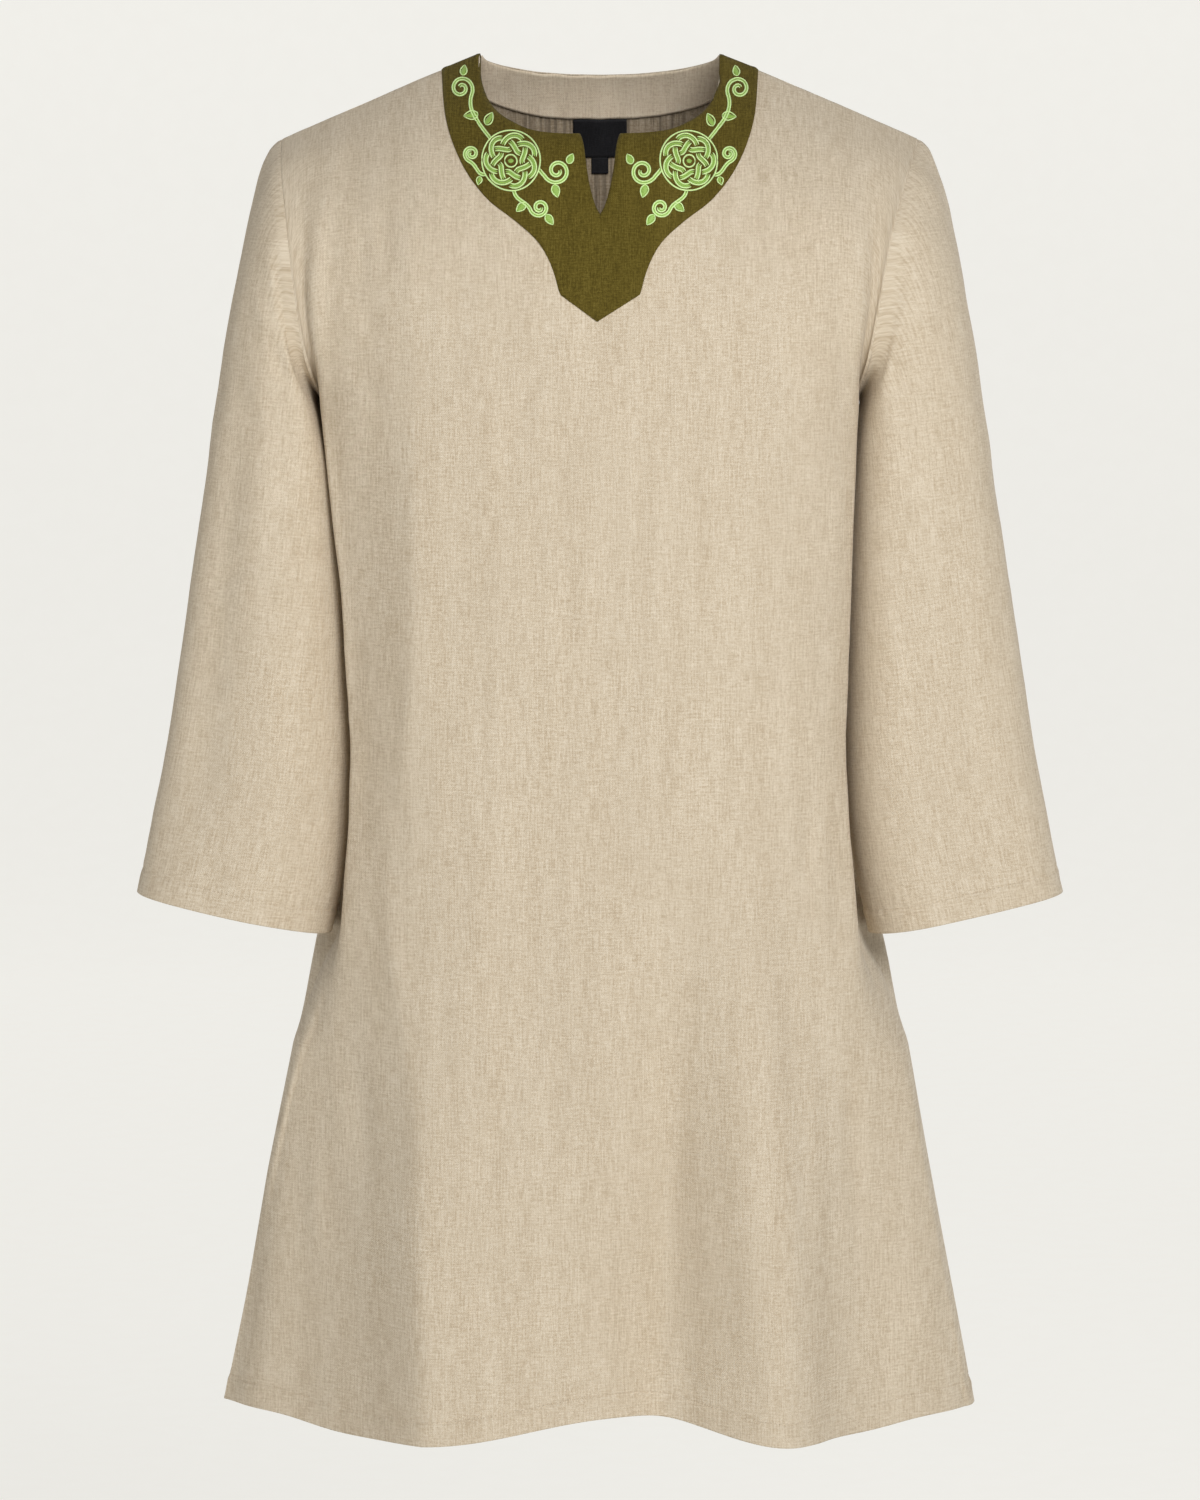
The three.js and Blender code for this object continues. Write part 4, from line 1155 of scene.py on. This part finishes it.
def build_yoke():
    steps = spaced((0, 0), (0.03, 3), (0.93, 30), (1, 6))
    made = []
    for number, (here, normal, x, z) in enumerate(lay_yoke(steps)):
        width = np.linalg.norm(here[:, -1] - here[:, 0], axis=-1)[:, None]
        to_outer, to_inner = width * (1 - steps[None, :]), width * steps[None, :]
        beside_slit = (np.arange(len(here)) >= YOKE_ROWS["below"])[:, None]
        turned = np.where(beside_slit, bell(to_inner, 0.9), 0)
        lift = yoke_lift(x, z) - 0.7 * bell(to_outer, 1.3) + 0.35 * bell(to_outer - 3.0, 2.2) - 1.3 * turned
        here = here + unit(here[:, :1] - here[:, 3:4]) * (0.9 * turned)[..., None]
        faces = grid_faces(*x.shape)
        made.append((here, normal, stacked(x, z, 0), faces if number else faces[:, ::-1], lift))
    *grids, faces, lift = zip(*made)
    points, normals, cloth = (np.concatenate([side.reshape(-1, 3) for side in grid]) for grid in grids)
    offset = lift[0].size
    seam = np.arange(YOKE_ROWS["below"] + 1) * len(steps)
    faces = weld(np.concatenate([faces[0], faces[1] + offset]), seam + offset, seam)
    return wall("neck_yoke", points, normals, faces, YOKE_THICK, [olive], cloth, lift=np.concatenate(lift))


neck_yoke = build_yoke()


def lining_strip(name, edge_x, edge_z, top, material, lift, steps=18):
    """A piece inside the back, from a lower edge up to an upper one, given as x and z."""
    top_x, top_z = top
    share = np.linspace(0, 1, steps)
    x = mix(edge_x[None, :], top_x[None, :], share[:, None])
    z = mix(edge_z[None, :], top_z[None, :], share[:, None])
    here, normal = on_half(BACK, np.where(np.abs(x) < 1e-3, 1e-3, x), z)
    lift = lift + (0.45 * ripples(x, z, 26, 2.5, SEED + 90) - 0.3 * bell(share[:, None], 0.09)).ravel()
    faces = grid_faces(*x.shape)[:, ::-1]
    return wall(name, here, normal, faces, 0.7, [material], stacked(x, z, 0), lift=lift)


# Where along its lower edge the facing leaves the neckline, and where across the back its top ends.
FACING_TOP = {"neck": 0.78, "end": 0.398}


def facing_piece():
    curve_x, curve_z = smooth_curve(FACING_EDGE, 60)
    edge_x, edge_z = np.concatenate([-curve_x[:0:-1], curve_x]), np.concatenate([curve_z[:0:-1], curve_z])
    turn = np.linspace(-1, 1, len(edge_x))
    ends = [0, NECK_SHARE, FACING_TOP["end"]]
    across = np.sign(turn) * np.interp(np.abs(turn), [0, FACING_TOP["neck"], 1], ends)
    top = top_edge(BACK, across)
    # The facing takes the lighter copy of the linen: painted light.
    return lining_strip("back_facing", edge_x, edge_z, (top[:, 0], top[:, 2]), painted_light_facing_linen, -1.3)


def bare_rectangle(name, size, material, lift):
    x = np.linspace(-size["half"], size["half"], 22)
    low, high = np.full(22, -float(size["bottom"])), np.full(22, -float(size["top"]))
    return lining_strip(name, x, low, (x, high), material, lift, steps=14)


facing = facing_piece()
label = bare_rectangle("woven_label", LABEL, black, -1.6)
tab = bare_rectangle("bare_tab", TAB, black, -1.6)


# Raised lines of thread.


class Threads:
    """Raised lines of thread that are joined into one mesh."""

    SECTION = np.array([(-0.5, -0.5), (-0.46, 0.3), (-0.22, 0.92), (0.22, 0.92), (0.46, 0.3), (0.5, -0.5)])

    def __init__(self):
        self.points, self.faces, self.cloth, self.tones = [], [], [], []
        self.count = 0

    def line(self, here, normal, wide, high, tone=0):
        """A line along points on cloth. wide and high are its section, and may change along it."""
        along = unit(np.gradient(here, axis=0))
        side = unit(np.cross(along, normal))
        sides = len(self.SECTION)
        across = np.broadcast_to(wide, len(here))[:, None] * self.SECTION[:, 0]
        up = np.broadcast_to(high, len(here))[:, None] * self.SECTION[:, 1]
        ring = here[:, None] + side[:, None] * across[..., None] + normal[:, None] * up[..., None]
        far = arc_places(here, 0)
        number = np.arange(len(here) * sides).reshape(len(here), sides) + self.count
        turned = np.roll(number, -1, axis=1)
        walls = np.stack([number[:-1], turned[:-1], turned[1:], number[1:]], axis=-1).reshape(-1, 4)
        self.faces += [tuple(face) for face in walls] + [tuple(number[0][::-1]), tuple(number[-1])]
        self.tones += [tone] * (len(walls) + 2)
        self.points.append(ring.reshape(-1, 3))
        self.cloth.append(stacked(far[:, None], across, 0).reshape(-1, 3))
        self.count += number.size

    def made(self, name, materials):
        points, cloth = np.concatenate(self.points), np.concatenate(self.cloth) * MM
        return make_object(name, points, self.faces, materials, {"cloth": cloth}, self.tones)


def stitches(name, line, lift):
    """A row of running stitches along a line on cloth."""
    here, normal = line
    far = arc_places(here, 0)
    threads = Threads()
    ends = np.linspace(-0.5, 0.5, 6)
    round_end = np.sqrt(1 - (2 * ends * 0.94) ** 2)
    pitch = STITCH["long"] + STITCH["gap"]
    for middle in np.arange(pitch, far[-1] - pitch / 2, pitch):
        at = middle + ends * STITCH["long"]
        columns = [np.interp(at, far, column) for column in (*here.T, *normal.T)]
        place, out = stacked(*columns[:3]), unit(stacked(*columns[3:]))
        place = place + out * (lift - 0.3 * (2 * ends[:, None]) ** 2)
        size = 2 * STITCH["radius"] * round_end
        threads.line(place, out, size, size)
    return threads.made(name, [linen_thread])


HEM_TOP = LINEN_THICK / 2 + 0.35
front_stitches = stitches("front_hem_stitches", FRONT.hem_line, HEM_TOP)
back_stitches = stitches("back_hem_stitches", BACK.hem_line, HEM_TOP)
right_stitches = stitches("right_cuff_stitches", right_cuff, HEM_TOP)
left_stitches = stitches("left_cuff_stitches", left_cuff, HEM_TOP)


# The embroidery.


def spiral(start, hand, radius, count=64, turns=1.45):
    angle = np.radians(start) + hand * 2 * math.pi * turns * np.linspace(0, 1, count)
    away = radius * (1 - 0.8 * np.linspace(0, 1, count) ** 0.85)
    return away * np.cos(angle), away * np.sin(angle)


def vine_path(x, z, lean, centre_x, centre_z, radius, start, hand):
    """A stem from (x, z), leaving at the angle lean, that runs into a curl."""
    curl_x, curl_z = spiral(start, hand, radius)
    curl_x, curl_z = curl_x + centre_x, curl_z + centre_z
    reach = 0.4 * math.hypot(curl_x[0] - x, curl_z[0] - z)
    away, into = math.radians(lean), math.radians(start + 90 * hand)
    knots_x = (x, x + reach * math.cos(away), curl_x[0] - reach * math.cos(into), curl_x[0])
    knots_z = (z, z + reach * math.sin(away), curl_z[0] - reach * math.sin(into), curl_z[0])
    t = np.linspace(0, 1, 30)[:-1]
    shares = ((1 - t) ** 3, 3 * t * (1 - t) ** 2, 3 * t * t * (1 - t), t**3)
    stem_x = sum(share * knot for share, knot in zip(shares, knots_x))
    stem_z = sum(share * knot for share, knot in zip(shares, knots_z))
    return np.concatenate([stem_x, curl_x]), np.concatenate([stem_z, curl_z])


def even(x, z, step=0.7):
    """The same line with points at even distances."""
    far = line_places(x, z)
    at = np.linspace(0, far[-1], max(4, int(far[-1] / step)))
    return np.interp(at, far, x), np.interp(at, far, z)


def beside(x, z, away):
    """The line that runs away mm beside another."""
    step_x, step_z = np.gradient(x), np.gradient(z)
    size = np.hypot(step_x, step_z)
    return x - away * step_z / size, z + away * step_x / size


def knot_path():
    """One strand that swings out and in as it goes round, and crosses itself."""
    turn = np.linspace(0, 2 * math.pi * KNOT["rounds"], 1400)
    away = KNOT["radius"] + KNOT["swing"] * np.cos(turn * KNOT["waves"] / KNOT["rounds"])
    return KNOT["x"] + away * np.cos(turn), KNOT["z"] + away * np.sin(turn)


def motif_lines():
    """The lines of the motif, each with its x and z, width, height, tone, and whether its ends taper."""
    lines = []

    def lay(x, z, wide, high, tone, taper=True):
        lines.append((x, z, wide, high, tone, taper))

    def strand(x, z, kind):
        for away in (-kind["apart"], kind["apart"]):
            lay(*beside(x, z, away), kind["line"], kind["high"], 0)
        lay(x, z, kind["fill"], 0.6 * kind["high"], 1)

    x, z = even(*knot_path())
    for piece in strand_pieces(x, z):
        strand(x[piece], z[piece], BAND)
    turn = np.linspace(0, 2 * math.pi, 120)
    for radius in (KNOT["ring"], KNOT["eye"]):
        ring = even(KNOT["x"] + radius * np.cos(turn), KNOT["z"] + radius * np.sin(turn))
        lay(*ring, BAND["line"], BAND["high"], 0)
    dot = np.linspace(-1, 1, 8)
    lay(KNOT["x"] + 1.8 * dot, KNOT["z"] + 0 * dot, 3.4 * np.sqrt(1.02 - dot**2), BAND["high"], 1, False)
    for row in zip(*VINES.values()):
        strand(*even(*vine_path(*row)), VINE)
    share = np.linspace(0, 1, 22)
    for base_x, base_z, turned, long, wide in zip(*LEAVES.values()):
        ahead, aside = np.radians(turned), np.radians(turned + 90)
        swell = np.sin(math.pi * share**0.75) ** 0.9
        middle_x, middle_z = base_x + long * share * np.cos(ahead), base_z + long * share * np.sin(ahead)
        for hand in (-1, 1):
            out = hand * wide * swell
            lay(*even(middle_x + out * np.cos(aside), middle_z + out * np.sin(aside)), 0.95, VINE["high"], 0)
        lay(middle_x, middle_z, np.maximum(2 * wide * swell - 0.9, 0.2), 0.6 * VINE["high"], 1, False)
    return lines


def embroider(threads, side, lines):
    """Lays the motif's lines on one side of the slit."""
    x, z = side * np.concatenate([line[0] for line in lines]), np.concatenate([line[1] for line in lines])
    here, normal = on_half(FRONT, x, z)
    here = here + normal * (yoke_lift(x, z) + YOKE_THICK / 2)[:, None]
    start = 0
    for line_x, _, wide, high, tone, taper in lines:
        part = slice(start, start + len(line_x))
        start += len(line_x)
        ends = np.minimum(np.arange(len(line_x)), np.arange(len(line_x))[::-1])
        size = np.clip(0.45 + 0.2 * ends, 0, 1) if taper else 1.0
        threads.line(here[part] + normal[part] * high / 4, normal[part], wide * size, high * size, tone)


def strand_pieces(x, z):
    """The stretches of the knot's strand between the places where it passes below itself."""
    count = len(x)
    order = np.arange(count)
    gap = np.hypot(x[:, None] - x[None, :], z[:, None] - z[None, :])
    apart = np.abs(order[:, None] - order[None, :])
    gap = np.where(np.minimum(apart, count - apart) > CROSSING["steps"], gap, FAR)
    nearest = gap.min(axis=1)
    lowest = (nearest <= np.roll(nearest, 1)) & (nearest < np.roll(nearest, -1))
    below = np.zeros(count, bool)
    for visit in np.flatnonzero(lowest & (nearest < CROSSING["near"]))[::2]:
        near = np.hypot(x - x[visit], z - z[visit]) < BAND["gap"]
        below |= (np.abs(order - visit) < CROSSING["steps"]) & near
    starts = np.flatnonzero(below[:-1] & ~below[1:]) + 1
    stops = np.flatnonzero(~below[:-1] & below[1:]) + 1
    first = np.arange(starts[-1], count - 1)
    pieces = [np.concatenate([first, np.arange(stops[0])])]
    for start, stop in zip(starts, stops[1:]):
        pieces.append(np.arange(start, stop))
    return pieces


motif = Threads()
lines = motif_lines()
for side in (-1, 1):
    embroider(motif, side, lines)
embroidery = motif.made("yoke_embroidery", [pale_lime, deep_lime])


# Stage, light and camera.

CAMERA = {"distance": 5000, "elevation": 6, "target_z": -500, "sensor": 36}
PICTURE = {"high": 1500, "mm_a_pixel": 0.72}
ROOM = {"ahead": 6000, "floor_z": -1500, "curve_y": 6000, "curve": 1500, "top_z": 12000, "half_wide": 16000}


PAPER = (0.865, 0.855, 0.815, 1)


def stage():
    """A pale floor that rises behind in one smooth curve."""
    profile = [(-ROOM["ahead"], ROOM["floor_z"])]
    for angle in np.linspace(0, math.pi / 2, 24):
        y = ROOM["curve_y"] + ROOM["curve"] * math.sin(angle)
        profile.append((y, ROOM["floor_z"] + ROOM["curve"] * (1 - math.cos(angle))))
    profile.append((ROOM["curve_y"] + ROOM["curve"], ROOM["top_z"]))
    points, faces = [], []
    for y, z in profile:
        points += [(-ROOM["half_wide"], y, z), (ROOM["half_wide"], y, z)]
    for n in range(len(profile) - 1):
        faces.append((2 * n, 2 * n + 1, 2 * n + 3, 2 * n + 2))
    shader = Shader("stage_paper")
    paper = shader.noise(shader.node("ShaderNodeTexCoord").outputs["Object"], 2.0, 0.5, 30.0)
    tone = shader.ramp(paper, (0.4, (0.3, 0.297, 0.286)), (0.6, (0.31, 0.307, 0.296)))
    shader.link(tone, shader.surface.inputs["Base Color"])
    shader.surface.inputs["Roughness"].default_value = 1.0
    shader.surface.inputs["Specular IOR Level"].default_value = 0.0
    shader.surface.inputs["Emission Color"].default_value = PAPER
    shader.surface.inputs["Emission Strength"].default_value = 0.815
    floor = make_object("stage_floor", np.array(points, float), faces, [shader.material])


# The place that the lights point at, in metres.
LIT = (0, 0, -0.5)


def area_light(name, place, size, energy):
    data = bpy.data.lights.new(name, "AREA")
    data.shape = "RECTANGLE"
    data.size, data.size_y = size
    data.energy = energy
    lamp = bpy.data.objects.new(name, data)
    lamp.location = place
    lamp.rotation_euler = (Vector(LIT) - Vector(place)).to_track_quat("-Z", "Y").to_euler()
    bpy.context.scene.collection.objects.link(lamp)


stage()
area_light("key_light", (1.0, -3.7, 1.4), (1.5, 1.6), 119)
area_light("fill_light", (-2.6, -3.4, 0.6), (2.4, 2.4), 9)

# The sky's colour and strength: as a light, and as it is seen past the floor's far edge.
SKY = {"light": ((1.0, 0.965, 0.9, 1), 0.19), "seen": (PAPER, 1.0)}

world = bpy.data.worlds.new("studio")
world.use_nodes = True
tree = world.node_tree
sky_mix = tree.nodes.new("ShaderNodeMixShader")
tree.links.new(tree.nodes.new("ShaderNodeLightPath").outputs["Is Camera Ray"], sky_mix.inputs[0])
for place, (color, strength) in zip((1, 2), (SKY["light"], SKY["seen"])):
    background = tree.nodes["Background"] if place == 1 else tree.nodes.new("ShaderNodeBackground")
    background.inputs["Color"].default_value = color
    background.inputs["Strength"].default_value = strength
    tree.links.new(background.outputs[0], sky_mix.inputs[place])
tree.links.new(sky_mix.outputs[0], tree.nodes["World Output"].inputs["Surface"])
bpy.context.scene.world = world
bpy.context.scene.view_settings.view_transform = "Standard"

angle = math.radians(CAMERA["elevation"])
camera_data = bpy.data.cameras.new("camera")
camera_data.sensor_width = CAMERA["sensor"]
camera_data.lens = CAMERA["sensor"] / PICTURE["high"] * CAMERA["distance"] / PICTURE["mm_a_pixel"]
camera_data.clip_end = 100
camera = bpy.data.objects.new("camera", camera_data)
target = Vector((0, 0, CAMERA["target_z"] * MM))
camera.location = target + Vector((0, -math.cos(angle), math.sin(angle))) * CAMERA["distance"] * MM
camera.rotation_euler = (math.pi / 2 - angle, 0, 0)
bpy.context.scene.collection.objects.link(camera)
bpy.context.scene.camera = camera


# The pieces' body, and the CAD node and slot that each stands for.

# The flat cut of each piece is its width and length in metres, and its area where it isn't a
# rectangle. The last column names what is sewn on it.
PIECES = [
    (front, "front", "linen", (0.72, 0.99), 0.53, "hung", [front_stitches]),
    (back, "back", "linen", (0.72, 0.98), 0.518, "hung", [back_stitches]),
    (right_sleeve, "sleeve_right", "linen", (0.42, 0.54), 0.172, "hung", [right_stitches]),
    (left_sleeve, "sleeve_left", "linen", (0.43, 0.54), 0.179, "hung", [left_stitches]),
    (neck_yoke, "yoke", "yoke_cloth", (0.24, 0.24), 0.0235, "stretched", [embroidery]),
    (facing, "back_neck_facing", "linen", (0.216, 0.064), 0.0087, "stretched", []),
    (label, "neck_label", "label_cloth", (0.039, 0.0305), None, "stretched", []),
    (tab, "size_tab", "label_cloth", (0.012, 0.0135), None, "stretched", []),
]
for piece, node, slot, flat, area, held, sewn_on in PIECES:
    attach(piece, "root")
    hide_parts(node)
    for thread in sewn_on:
        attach(thread, "root")
    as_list(sewn_on)
